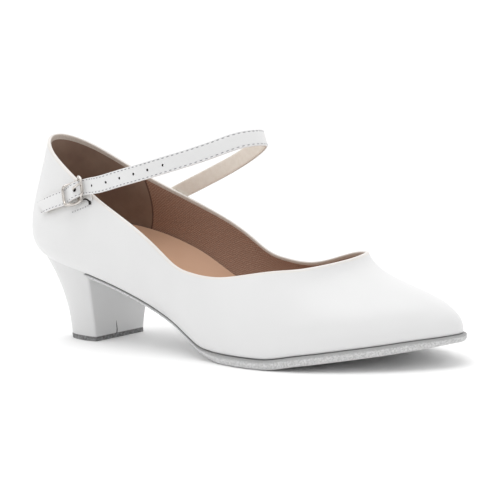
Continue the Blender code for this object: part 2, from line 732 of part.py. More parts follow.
def wire(name, finish, route, radius, closed=False):
    """A round wire along a route."""
    curve = bpy.data.curves.new(name, "CURVE")
    curve.dimensions = "3D"
    curve.bevel_depth = radius
    curve.bevel_resolution = 2
    curve.use_fill_caps = not closed
    spline = curve.splines.new("POLY")
    spline.points.add(len(route) - 1)
    for point, place in zip(spline.points, route):
        point.co = (*(place - [heel_centre(), 0, 0]), 1)
    spline.use_cyclic_u = closed
    curve.materials.append(material(*finish))
    obj = bpy.data.objects.new(name, curve)
    bpy.context.scene.collection.objects.link(obj)
    return obj


def make_buckle():
    """The bowed frame, its middle bar, the prong, and the leather tab that holds the bar."""
    foot, along, across, out = buckle_frame_axes()
    half_length = BUCKLE_LENGTH / 2
    half_width = STRAP_WIDTH / 2 + 2 * CLEARANCE + WIRE_RADIUS
    end_lift = strap_under_ends() + STRAP_THICK / 2 + 2 * CLEARANCE + WIRE_RADIUS
    route = []
    for turn in np.linspace(0, 2 * math.pi, 40, endpoint=False):
        cos, sin = math.cos(turn), math.sin(turn)
        step = half_length * math.copysign(abs(cos) ** 0.42, cos)
        side = half_width * math.copysign(abs(sin) ** 0.42, sin)
        lift = bar_height() + (end_lift - bar_height()) * min(1.0, (step / half_length / 0.8) ** 2)
        route.append(foot + along * step + across * side + out * lift)
    frame = wire("buckle_frame", NICKEL, route, WIRE_RADIUS, closed=True)
    bar_half = half_width - WIRE_RADIUS - CLEARANCE
    bar = [foot + across * side * bar_half + out * bar_height() for side in np.linspace(-1, 1, 5)]
    bar = wire("buckle_bar", NICKEL, bar, WIRE_RADIUS)
    prong_points = np.array(prong_route())
    knots = np.concatenate([[0], np.cumsum(np.linalg.norm(np.diff(prong_points, axis=0), axis=1))])
    prong_line = smooth(knots, prong_points, np.linspace(0, knots[-1], 12))
    prong = wire("buckle_prong", NICKEL, prong_line, PRONG_RADIUS)
    return frame, bar, prong


def make_tab():
    """The tab: a strip on the quarter under the strap, rolled into an eye round the buckle's bar."""
    foot, along, across, out = buckle_frame_axes()
    eye = WIRE_RADIUS + CLEARANCE + TAB_THICK / 2
    line, thick = [], []
    for turn in np.radians(np.linspace(-20, 270, 18)):
        way = math.cos(turn) * along + math.sin(turn) * out
        line.append(foot + out * bar_height() + way * eye)
        thick.append(way)
    for share in np.linspace(0.2, 1, 8):
        place = foot + (along - across * TAB_DROP) * share * TAB_LENGTH
        point, normal = side_point(-1, place[0], place[2])
        blend = min(1.0, share * 1.6)
        point = point + normal * (CLEARANCE + TAB_THICK / 2)
        flat = place + out * (bar_height() - eye)
        line.append(point * blend + flat * (1 - blend))
        thick.append(-normal)
    line, thick = np.array(line), unit(np.array(thick))
    wide = np.tile(across, (len(line), 1))
    return strip("buckle_tab", WHITE_LEATHER, line, wide, thick, TAB_WIDTH, TAB_THICK)


def main():
    """Clears the scene and builds the shoe."""
    for obj in list(bpy.data.objects):
        bpy.data.objects.remove(obj)
    make_upper()
    make_insole()
    make_outsole()
    make_heel()
    make_strap()
    make_buckle()
    make_tab()


main()
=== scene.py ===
"""A right character shoe in white leather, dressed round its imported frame.

Shapes are worked out in millimetres on the last: x from the back of the last to the toe, y to the medial side and z
up from the floor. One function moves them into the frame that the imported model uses.
"""

import logging
import math
from dataclasses import dataclass, field
from enum import Enum
from typing import NamedTuple

import bpy
import numpy as np
from mathutils import Matrix, Vector


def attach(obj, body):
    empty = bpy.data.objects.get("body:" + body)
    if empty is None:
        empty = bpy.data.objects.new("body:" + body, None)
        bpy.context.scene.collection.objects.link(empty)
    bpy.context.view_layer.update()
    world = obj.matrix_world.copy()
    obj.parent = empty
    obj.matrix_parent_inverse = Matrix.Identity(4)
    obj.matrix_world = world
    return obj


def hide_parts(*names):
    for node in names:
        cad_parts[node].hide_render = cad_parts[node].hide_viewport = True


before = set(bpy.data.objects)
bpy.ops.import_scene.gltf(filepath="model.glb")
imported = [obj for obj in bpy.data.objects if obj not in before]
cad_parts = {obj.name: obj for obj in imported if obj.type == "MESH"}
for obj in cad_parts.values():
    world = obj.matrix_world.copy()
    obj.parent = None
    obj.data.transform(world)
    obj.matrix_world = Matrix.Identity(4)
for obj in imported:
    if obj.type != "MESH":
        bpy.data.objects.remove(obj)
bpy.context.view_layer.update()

LOG = logging.getLogger("shoe")
MM = 0.001
HEEL_CENTRE = 26.5
Array = np.ndarray
Material = bpy.types.Material
Node = bpy.types.Node
Piece = bpy.types.Object
Socket = bpy.types.NodeSocket
Tree = bpy.types.NodeTree


class Side(Enum):
    """The two sides of the shoe, with the sign of y on each."""

    LATERAL = -1
    MEDIAL = 1


class Weave(Enum):
    """How a cloth lining is woven."""

    PLAIN = 0.0
    TWILL = 45.0


def smooth(knots: Array, values: Array, at: Array, closed: bool = False) -> Array:
    """A cubic spline through values at knots.

    Its second derivatives are solved for, so that slope and curvature run on from span to span. A closed spline's
    last knot is its first again, and an open one is straight at its ends.

    Args:
        knots: Rising places of the values.
        values: One row for each knot.
        at: Places to read.
        closed: Whether the curve runs round.

    Returns:
        One row for each place.
    """
    knots = np.asarray(knots, float)
    values = np.asarray(values, float)
    values = values.reshape(len(values), -1)
    spans = np.diff(knots)
    count = len(spans) if closed else len(knots)
    left, right = np.zeros((count, count)), np.zeros((count, values.shape[1]))
    for i in range(count):
        if not closed and i in (0, count - 1):
            left[i, i] = 1
            continue
        before, after = spans[i - 1], spans[i]
        left[i, i - 1] += before
        left[i, i] += 2 * (before + after)
        left[i, (i + 1) % count] += after
        rise_after = (values[(i + 1) % count] - values[i]) / after
        right[i] = 6 * (rise_after - (values[i] - values[i - 1]) / before)
    bend = np.linalg.solve(left, right)
    if closed:
        bend, values = np.vstack([bend, bend[:1]]), np.vstack([values, values[:1]])
        at = np.mod(at, knots[-1])
    at = np.clip(at, knots[0], knots[-1])
    i = np.clip(np.searchsorted(knots, at, side="right") - 1, 0, len(spans) - 1)
    span = spans[i][:, None]
    done = (at - knots[i])[:, None]
    rest = span - done
    line = (values[i] / span - bend[i] * span / 6) * rest
    line += (values[i + 1] / span - bend[i + 1] * span / 6) * done
    return line + (bend[i] * rest**3 + bend[i + 1] * done**3) / (6 * span)


def steady(knots: Array, values: Array, at: Array) -> Array:
    """A curve through values that never overshoots, so that flat stretches stay flat.

    Args:
        knots: Rising places of the values.
        values: One number for each knot.
        at: Places to read.

    Returns:
        One number for each place: a cubic between two knots, its slope at each the weighted harmonic mean of the
        slopes beside it.
    """
    knots, values = np.asarray(knots, float), np.asarray(values, float)
    spans = np.diff(knots)
    slopes = np.diff(values) / spans
    tangent = np.zeros(len(knots))
    tangent[0], tangent[-1] = slopes[0], slopes[-1]
    for i in range(1, len(slopes)):
        if slopes[i - 1] * slopes[i] > 0:
            weight = (2 * spans[i] + spans[i - 1], spans[i] + 2 * spans[i - 1])
            tangent[i] = sum(weight) / (weight[0] / slopes[i - 1] + weight[1] / slopes[i])
    at = np.clip(at, knots[0], knots[-1])
    i = np.clip(np.searchsorted(knots, at, side="right") - 1, 0, len(spans) - 1)
    share = (at - knots[i]) / spans[i]
    ease = share * share * (3 - 2 * share)
    pull = share * (1 - share) ** 2 * spans[i] * tangent[i]
    pull += share * share * (share - 1) * spans[i] * tangent[i + 1]
    return values[i] + (values[i + 1] - values[i]) * ease + pull


def unit(vectors: Array) -> Array:
    """The vectors at length 1."""
    return vectors / np.maximum(np.linalg.norm(vectors, axis=-1, keepdims=True), 1e-12)


def lengths(points: Array) -> Array:
    """How far along a line of points each of them lies."""
    return np.concatenate([[0], np.cumsum(np.linalg.norm(np.diff(points, axis=0), axis=1))])


def read(knots: Array, rows: Array, at: Array) -> Array:
    """Rows of numbers read between their knots in a straight line, at places of any shape."""
    return np.stack([np.interp(at, knots, rows[:, axis]) for axis in range(rows.shape[1])], axis=-1)


def in_frame(points: Array) -> Array:
    """Points on the last in millimetres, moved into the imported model's frame in metres."""
    return (np.asarray(points, float) - [HEEL_CENTRE, 0, 0]) * MM


def grid_faces(rows: int, columns: int, loop_rows: bool = False, loop_columns: bool = False) -> Array:
    """Quads of a grid whose points are numbered row by row; a loop joins its last row or column to its first."""
    row = np.arange(rows if loop_rows else rows - 1)[:, None] * columns
    above = (row + columns) % (rows * columns)
    column = np.arange(columns if loop_columns else columns - 1)[None, :]
    after = (column + 1) % columns
    return np.stack([row + column, row + after, above + after, above + column], axis=-1).reshape(-1, 4)


def end_caps(rows: int, columns: int) -> Array:
    """The two faces that close a grid of rings at its first and last row."""
    column = np.arange(columns)
    return np.stack([column[::-1], (rows - 1) * columns + column])


def squared(wave: Array, power: float) -> Array:
    """A sine or cosine to a power with its sign kept: below 1 it makes a circle a rounded oblong."""
    return np.sign(wave) * abs(wave) ** power


def softened(ring: Array, times: int) -> Array:
    """A closed ring in which each point goes a quarter of the way to both its neighbours, some times over."""
    for _ in range(times):
        ring = (np.roll(ring, 1, axis=0) + 2 * ring + np.roll(ring, -1, axis=0)) / 4
    return ring


def outward_faces(points: Array, faces: list[Array]) -> list[Array]:
    """Turns a closed mesh's faces so that they point out.

    The volume is a sixth of the sum of a . (b x c) over the triangles; if it is below 0 every face is turned round.

    Args:
        points: The mesh's points.
        faces: Arrays of faces, one for each number of corners.

    Returns:
        The same faces, turned if need be.
    """
    volume = 0.0
    for group in faces:
        for corner in range(1, group.shape[1] - 1):
            a, b, c = (points[group[:, k]] for k in (0, corner, corner + 1))
            volume += (a * np.cross(b, c)).sum()
    return faces if volume >= 0 else [group[:, ::-1] for group in faces]


def make_piece(
    name: str,
    points: Array,
    faces: list[Array],
    finishes: list[Material],
    looks: Array | None = None,
    flat: Array | None = None,
    sharp: float = 42.0,
) -> Piece:
    """Makes one piece of the shoe from whole arrays.

    Args:
        name: The piece's name.
        points: Its points on the last, in millimetres.
        faces: Arrays of faces, one for each number of corners.
        finishes: Its materials.
        looks: The material of each face, as a place in finishes.
        flat: Where each point lies on the flat cut leather or cloth, in millimetres.
        sharp: The angle in degrees above which an edge stays hard.

    Returns:
        The object, riding on the shoe's body.
    """
    placed = in_frame(points)
    groups = outward_faces(placed, faces)
    corners = np.concatenate([group.ravel() for group in groups]).astype(np.int32)
    sizes = np.concatenate([np.full(len(group), group.shape[1]) for group in groups])
    starts = np.concatenate([[0], np.cumsum(sizes)[:-1]]).astype(np.int32)
    mesh = bpy.data.meshes.new(name)
    mesh.vertices.add(len(placed))
    mesh.vertices.foreach_set("co", placed.astype(np.float32).ravel())
    mesh.loops.add(len(corners))
    mesh.loops.foreach_set("vertex_index", corners)
    mesh.polygons.add(len(sizes))
    mesh.polygons.foreach_set("loop_start", starts)
    if flat is not None:
        layer = mesh.uv_layers.new(name="cut")
        layer.data.foreach_set("uv", (flat[corners] * MM).astype(np.float32).ravel())
    for finish in finishes:
        mesh.materials.append(finish)
    if looks is not None:
        mesh.polygons.foreach_set("material_index", looks.astype(np.int32))
    mesh.update(calc_edges=True)
    mesh.validate()
    mesh.shade_smooth()
    mesh.set_sharp_from_angle(angle=math.radians(sharp))
    obj = bpy.data.objects.new(name, mesh)
    bpy.context.scene.collection.objects.link(obj)
    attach(obj, "root")
    LOG.info("%s: %d points, %d faces", name, len(placed), len(sizes))
    return obj


def tube(
    centres: Array, up: Array, radii: Array | float, sides: int = 16, closed: bool = False
) -> tuple[Array, list[Array]]:
    """A round wire: at each centre a circle in the plane across the route.

    Args:
        centres: The route.
        up: A direction at each centre that the circle's first radius leans to.
        radii: The wire's radius, one for all or one at each centre.
        sides: Points round the wire.
        closed: Whether the route runs round.

    Returns:
        The points and the faces.
    """
    if closed:
        along = unit(np.roll(centres, -1, axis=0) - np.roll(centres, 1, axis=0))
    else:
        along = unit(np.gradient(centres, axis=0))
    across = unit(np.cross(along, up))
    rise = np.cross(across, along)
    turn = np.linspace(0, 2 * math.pi, sides, endpoint=False)[None, :, None]
    ring = np.cos(turn) * across[:, None] + np.sin(turn) * rise[:, None]
    points = (centres[:, None] + ring * np.asarray(radii).reshape(-1, 1, 1)).reshape(-1, 3)
    faces = [grid_faces(len(centres), sides, closed, True)]
    if not closed:
        faces.append(end_caps(len(centres), sides))
    return points, faces


def stitches(places: Array, along: Array, out: Array, size: tuple[float, float, float]) -> tuple[Array, list[Array]]:
    """A row of short thread stitches, each a small closed lens of 24 faces.

    Args:
        places: The stitches' middles.
        along: The way of the thread at each.
        out: The way out of the leather at each.
        size: Half a stitch's length, half its width and half its height.

    Returns:
        The points and the faces of them all.
    """
    turn = np.linspace(0, 2 * math.pi, 6, endpoint=False)
    circle = np.stack([0 * turn, np.cos(turn), np.sin(turn)], axis=-1)
    rings = [circle * wide + [x, 0, 0] for x, wide in ((-0.7, 0.7), (0, 1), (0.7, 0.7))]
    base = np.vstack([[[-1, 0, 0]], *rings, [[1, 0, 0]]]) * size
    along = unit(along)
    across = unit(np.cross(out, along))
    out = np.cross(along, across)
    axes = np.stack([along, across, out], axis=1)
    points = places[:, None] + base @ axes
    a = np.arange(6)
    b = (a + 1) % 6
    tips = np.vstack([np.stack([0 * a, 1 + a, 1 + b], -1)[:, ::-1], np.stack([0 * a + 19, 13 + a, 13 + b], -1)])
    belt = grid_faces(3, 6, False, True) + 1
    step = (np.arange(len(places)) * len(base))[:, None, None]
    return points.reshape(-1, 3), [(belt + step).reshape(-1, 4), (tips + step).reshape(-1, 3)]


def ripple(places: Array, size: float, seed: int, waves: int = 24) -> Array:
    """Even roughness between -1 and 1: a sum of sine waves in scattered directions, about size millimetres long."""
    chance = np.random.default_rng(seed)
    ways = unit(chance.normal(size=(waves, 3))) * (2 * math.pi / (size * chance.uniform(0.6, 1.6, (waves, 1))))
    return np.sin(places @ ways.T + chance.uniform(0, 2 * math.pi, waves)).sum(axis=-1) / math.sqrt(waves * 2)


def linear(code: str) -> tuple[float, float, float, float]:
    """An sRGB hex colour as linear light."""
    parts = [int(code[i : i + 2], 16) / 255 for i in (1, 3, 5)]
    return (*[c / 12.92 if c <= 0.04045 else ((c + 0.055) / 1.055) ** 2.4 for c in parts], 1.0)


def plug(tree: Tree, node: Node, inputs: dict) -> None:
    """Sets a node's sockets: each gets a number, a colour, or a link from the output that is given."""
    for key, value in inputs.items():
        if isinstance(value, Socket):
            tree.links.new(value, node.inputs[key])
        else:
            node.inputs[key].default_value = value


def add(tree: Tree, kind: str, inputs: dict | None = None, **settings) -> Node:
    """Adds a node to a material.

    Args:
        tree: The material's nodes.
        kind: The shader node's type.
        inputs: For each socket's name or place, a number, a colour, or the output that is linked into it.
        settings: The node's own settings.

    Returns:
        The node.
    """
    made = tree.nodes.new("ShaderNode" + kind)
    for key, value in settings.items():
        setattr(made, key, value)
    plug(tree, made, inputs or {})
    return made


@dataclass(frozen=True)
class Finish:
    """What all finishes share. Each kind says what goes into the shader's sockets."""

    name: str
    colour: str
    shade: str
    roughness: float

    def make(self) -> Material:
        """Makes the material.

        Returns:
            The material, with its pattern wired in.
        """
        made = bpy.data.materials.new(self.name)
        made.use_nodes = True
        shader = made.node_tree.nodes["Principled BSDF"]
        plug(made.node_tree, shader, {"Roughness": self.roughness, **self.wire(made.node_tree)})
        made.diffuse_color = linear(self.colour)
        return made

    def wire(self, tree: Tree) -> dict:
        """Makes the finish's pattern and gives the shader's sockets their numbers or links."""
        raise NotImplementedError

    def mottle(self, tree: Tree, size: float, low: float = 0.35, high: float = 0.65) -> Socket:
        """A slow change between the colour and its shade.

        Args:
            tree: The material's nodes.
            size: How wide the patches are, in millimetres.
            low: The noise below which the colour is whole.
            high: The noise above which the shade is whole.

        Returns:
            The mixed colour.
        """
        where = add(tree, "TexCoord").outputs["Object"]
        noise = add(tree, "TexNoise", {"Vector": where, "Scale": 1 / (size * MM), "Detail": 3.0})
        share = add(tree, "MapRange", {"Value": noise.outputs["Fac"], "From Min": low, "From Max": high})
        tones = {"Factor": share.outputs["Result"], 6: linear(self.colour), 7: linear(self.shade)}
        return add(tree, "Mix", tones, data_type="RGBA").outputs[2]


@dataclass(frozen=True)
class CoatedLeather(Finish):
    """Smooth leather with a pigmented coat: a soft satin sheen over a tight, shallow pebble grain."""

    grain: float = 0.8
    depth: float = 0.012
    coat: float = 0.06
    coat_roughness: float = 0.3
    patch: float = 45.0
    rub: float = 9.0

    def wire(self, tree: Tree) -> dict:
        """Grain cells a little under a millimetre wide, coarser than the real 0.3 mm to show, and slow patches."""
        where = add(tree, "TexCoord").outputs["Object"]
        across = {"Vector": where, "Scale": 1 / (self.grain * MM), "Smoothness": 0.6}
        cells = add(tree, "TexVoronoi", across, feature="SMOOTH_F1")
        relief = {"Strength": 0.5, "Distance": self.depth * MM, "Height": cells.outputs["Distance"]}
        rubbed = add(tree, "TexNoise", {"Vector": where, "Scale": 1 / (self.rub * MM), "Detail": 4.0})
        gloss = {"Value": rubbed.outputs["Fac"], "To Min": self.roughness - 0.05, "To Max": self.roughness + 0.07}
        return {
            "Base Color": self.mottle(tree, self.patch),
            "Normal": add(tree, "Bump", relief).outputs["Normal"],
            "Roughness": add(tree, "MapRange", gloss).outputs["Result"],
            "Coat Weight": self.coat,
            "Coat Roughness": self.coat_roughness,
        }


@dataclass(frozen=True)
class Lining(Finish):
    """The upper's inside: bare grey-brown leather round the heel, and woven cotton from the quarter seam on."""

    cloth: str = "#8A6856"
    thread: str = "#B79885"
    # fold is the colour close to the seam: painted shade in the seam's trough.
    fold: str = "#5E4538"
    pitch: float = 1.0
    weave: Weave = Weave.TWILL
    seam_along: float = 43.9
    seam_height: float = 70.5
    seam_bow: float = 0.0155

    def wire(self, tree: Tree) -> dict:
        """Threads 1 mm apart, twice the real spacing so that they show, with a bowed seam between the two linings.

        The seam's place along the shoe is a parabola in the height. Distance from it gives the share of each lining
        and, close by, the fold's trough, sunk in the relief and darkened with painted shade.
        """
        where = add(tree, "TexCoord").outputs
        turn = (0.0, 0.0, math.radians(self.weave.value))
        turned = add(tree, "Mapping", {"Vector": where["UV"], "Rotation": turn}).outputs["Vector"]
        scale = 2 * math.pi / (20 * self.pitch * MM)
        threads = []
        for place, size, wobble, fine, way in ((turned, 1.0, 4.5, 2.0, "X"), (where["UV"], 1.6, 3.5, 1.0, "Y")):
            wave = {"Vector": place, "Scale": scale * size, "Distortion": wobble, "Detail": 3.0, "Detail Scale": fine}
            threads.append(add(tree, "TexWave", wave, bands_direction=way).outputs["Fac"])
        cloth = add(tree, "Math", dict(enumerate(threads)), operation="MULTIPLY").outputs[0]
        tones = {"Factor": cloth, 6: linear(self.cloth), 7: linear(self.thread)}
        woven = add(tree, "Mix", tones, data_type="RGBA").outputs[2]
        place = add(tree, "SeparateXYZ", {0: where["Object"]}).outputs
        rise = add(tree, "Math", {0: place["Z"], 1: self.seam_height * MM}, operation="SUBTRACT").outputs[0]
        bow = add(tree, "Math", {0: rise, 1: 2.0}, operation="POWER").outputs[0]
        bent = {0: bow, 1: self.seam_bow / MM, 2: place["X"]}
        ahead = add(tree, "Math", bent, operation="MULTIPLY_ADD").outputs[0]
        seam = self.seam_along - HEEL_CENTRE
        share = {"Value": ahead, "From Min": (seam - 0.2) * MM, "From Max": (seam + 0.2) * MM}
        front = add(tree, "MapRange", share).outputs["Result"]
        linings = {"Factor": front, 6: self.mottle(tree, 14), 7: woven}
        both = add(tree, "Mix", linings, data_type="RGBA").outputs[2]
        off = add(tree, "Math", {0: ahead, 1: seam * MM}, operation="SUBTRACT").outputs[0]
        near = add(tree, "Math", {0: off}, operation="ABSOLUTE").outputs[0]
        close = {"Value": near, "From Min": 0.25 * MM, "From Max": 0.8 * MM, "To Min": 1.0, "To Max": 0.0}
        fold = add(tree, "MapRange", close).outputs["Result"]
        # Close to the seam the colour goes to fold: painted shade in the trough, which the relief also sinks.
        shaded = {"Factor": fold, 6: both, 7: linear(self.fold)}
        grain = add(tree, "TexNoise", {"Vector": where["Object"], "Scale": 1 / (0.7 * MM), "Detail": 2.0})
        heights = {"Factor": front, 2: grain.outputs["Fac"], 3: cloth}
        relief = add(tree, "Mix", heights, data_type="FLOAT").outputs[0]
        sunk = add(tree, "Math", {0: relief, 1: fold}, operation="SUBTRACT").outputs[0]
        bump = add(tree, "Bump", {"Strength": 0.6, "Distance": 0.12 * MM, "Height": sunk})
        return {
            "Base Color": add(tree, "Mix", shaded, data_type="RGBA").outputs[2],
            "Normal": bump.outputs["Normal"],
        }


@dataclass(frozen=True)
class Nap(Finish):
    """Split suede: short raised fibres that scatter light and leave a mottled, fuzzy face and cut edge."""

    # top is the colour along the top of the sole's edge: painted shadow under the upper's overhang.
    top: str = "#A0A0A0"
    pile: float = 0.7
    depth: float = 0.35
    fuzz: float = 0.35

    def wire(self, tree: Tree) -> dict:
        """Two noises, at the fibres' clumps of about a millimetre and at twice as fine, in colour and in height."""
        where = add(tree, "TexCoord").outputs
        fine = {"Vector": where["Object"], "Scale": 2 / (self.pile * MM), "Detail": 5.0, "Roughness": 0.7}
        fibre = add(tree, "TexNoise", fine).outputs["Fac"]
        down = add(tree, "SeparateXYZ", {0: where["UV"]}).outputs["Y"]
        # The top of the edge takes the top colour, painted shadow under the upper, fading out from 0.06 to 0.42 of
        # the way down.
        fade = {"Value": down, "From Min": 0.06, "From Max": 0.42}
        clear = add(tree, "MapRange", fade, interpolation_type="SMOOTHSTEP").outputs["Result"]
        tones = {"Factor": clear, 6: linear(self.top), 7: self.mottle(tree, self.pile, 0.36, 0.62)}
        bump = add(tree, "Bump", {"Strength": 0.8, "Distance": self.depth * MM, "Height": fibre})
        return {
            "Base Color": add(tree, "Mix", tones, data_type="RGBA").outputs[2],
            "Normal": bump.outputs["Normal"],
            "Sheen Weight": self.fuzz,
            "Sheen Roughness": 0.5,
        }


@dataclass(frozen=True)
class PlatedMetal(Finish):
    """Polished nickel plate on drawn wire: mirror-bright, with hairline rub marks of a tenth of a millimetre."""

    marks: float = 0.12

    def wire(self, tree: Tree) -> dict:
        """Fine noise lifts the roughness a little where the plate has been rubbed."""
        where = add(tree, "TexCoord").outputs["Object"]
        rub = add(tree, "TexNoise", {"Vector": where, "Scale": 1 / (self.marks * MM), "Detail": 2.0})
        gloss = {"Value": rub.outputs["Fac"], "To Min": self.roughness - 0.04, "To Max": self.roughness + 0.06}
        return {
            "Metallic": 1.0,
            "Base Color": self.mottle(tree, 3),
            "Roughness": add(tree, "MapRange", gloss).outputs["Result"],
        }


@dataclass(frozen=True)
class Matt(Finish):
    """Dull stuff of one tone with a worn, uneven face: thread, moulded rubber, raw edges, painted shade in cuts and
    on the rim, or a studio floor.
    """

    patch: float = 1.5
    depth: float = 0.05

    def wire(self, tree: Tree) -> dict:
        """Patches of two close tones, and the same noise in the height."""
        where = add(tree, "TexCoord").outputs["Object"]
        noise = add(tree, "TexNoise", {"Vector": where, "Scale": 2 / (self.patch * MM), "Detail": 3.0})
        relief = {"Strength": 0.5, "Distance": self.depth * MM, "Height": noise.outputs["Fac"]}
        return {"Base Color": self.mottle(tree, self.patch), "Normal": add(tree, "Bump", relief).outputs["Normal"]}


def dyed(finish: Finish) -> Material:
    """A dataclass field that holds the finish's material, made when the dataclass is."""
    return field(default_factory=finish.make)


@dataclass
class Finishes:
    """Every material of the shoe, made once and shared by its pieces."""

    leather: Material = dyed(CoatedLeather("white_coated_leather", "#E1E1E1", "#DEDEDE", 0.42))
    # The heel cover is a shade darker than the upper's leather: painted shade on the heel and its breast.
    cover: Material = dyed(CoatedLeather("white_heel_cover_with_painted_shade", "#D9D9D9", "#D5D5D5", 0.40, grain=0.6))
    brim: Material = dyed(CoatedLeather("folded_leather_edge", "#E4E1DE", "#DED9D4", 0.36, grain=0.6))
    lining: Material = dyed(Lining("shoe_lining", "#8C7768", "#80695B", 0.85))
    sock: Material = dyed(
        CoatedLeather("tan_sock_leather", "#C69F84", "#BE967A", 0.66, grain=1.1, depth=0.03, coat=0.0)
    )
    suede: Material = dyed(Nap("grey_split_suede", "#DEDEDE", "#BEBEBE", 0.95))
    rubber: Material = dyed(Matt("heel_lift_rubber", "#8E8E8E", "#646464", 0.8, patch=1.2, depth=0.25))
    nickel: Material = dyed(PlatedMetal("polished_nickel", "#D2CDC8", "#C2BCB6", 0.12))
    thread: Material = dyed(Matt("grey_polyester_thread", "#97979A", "#86868A", 0.7, patch=0.4))
    strap_back: Material = dyed(Matt("beige_strap_lining", "#EEE7DD", "#E9E1D6", 0.75, patch=2.5, depth=0.04))
    # Grey-beige: the real colour of the strap's cut edges, and painted shade on the inner half of the upper's rim.
    cut_edge_and_rim_shade: Material = dyed(Matt("cut_edge_and_painted_rim_shade", "#CBC2B9", "#BDB3A9", 0.85, patch=0.6, depth=0.06))
    # Near-black: painted shade in the heel's slit, the strap's punched holes and the cut at the tab's end.
    painted_shade_cut: Material = dyed(Matt("painted_shade_in_cuts", "#2E2A28", "#221F1E", 0.9, patch=0.8))


class Rib(NamedTuple):
    """One rib of the last, from the sole's edge to the topline: where its foot and its top lie, and its handles.

    along is a share of the length. lateral and medial are shares of width. top_along, top_out and top_up are shares
    of the way from the back to the throat, of the collar's width, and of the climb from the throat to the back.
    rise and drop are lengths in millimetres, with flare and lean their outward tilts in degrees.
    """

    along: float
    width: str
    lateral: float
    medial: float
    top_along: float
    top_out: float
    top_up: float
    rise: float
    flare: float
    drop: float
    lean: float


RIBS = (
    Rib(0.000, "seat", 0.00, 0.00, 0.016, 0.00, 1.00, 15, 58, 27, 15),
    Rib(0.014, "seat", 0.24, 0.24, 0.033, 0.125, 0.97, 15, 57, 26, 14),
    Rib(0.055, "seat", 0.41, 0.40, 0.085, 0.24, 0.863, 14, 55, 22, 13),
    Rib(0.120, "seat", 0.50, 0.49, 0.183, 0.32, 0.667, 14, 51, 18, 10),
    Rib(0.210, "seat", 0.50, 0.47, 0.294, 0.39, 0.471, 13, 44, 15, 8),
    Rib(0.317, "waist", 0.52, 0.44, 0.412, 0.44, 0.285, 12, 38, 13, 5),
    Rib(0.423, "waist", 0.55, 0.44, 0.523, 0.475, 0.074, 11, 36, 10, 5),
    Rib(0.475, "waist", 0.604, 0.500, 0.578, 0.49, -0.050, 10, 34, 8, 8),
    Rib(0.528, "ball", 0.425, 0.355, 0.627, 0.50, -0.104, 10, 30, 8, 14),
    Rib(0.618, "ball", 0.500, 0.445, 0.714, 0.50, -0.132, 11, 22, 10, 22),
    Rib(0.700, "ball", 0.525, 0.490, 0.793, 0.475, -0.094, 12, 16, 12, 28),
    Rib(0.780, "ball", 0.488, 0.475, 0.865, 0.42, -0.053, 12, 12, 15, 26),
    Rib(0.854, "ball", 0.400, 0.385, 0.921, 0.345, -0.035, 14, 9, 16, 20),
    Rib(0.919, "ball", 0.280, 0.270, 0.966, 0.228, -0.015, 16, 7, 15, 14),
    Rib(0.967, "ball", 0.160, 0.150, 0.991, 0.122, -0.003, 18, 6, 14, 12),
    Rib(0.992, "ball", 0.070, 0.065, 0.999, 0.048, 0.000, 19, 6, 14, 10),
    Rib(1.000, "ball", 0.00, 0.00, 1.000, 0.00, 0.000, 19, 6, 14, 10),
)


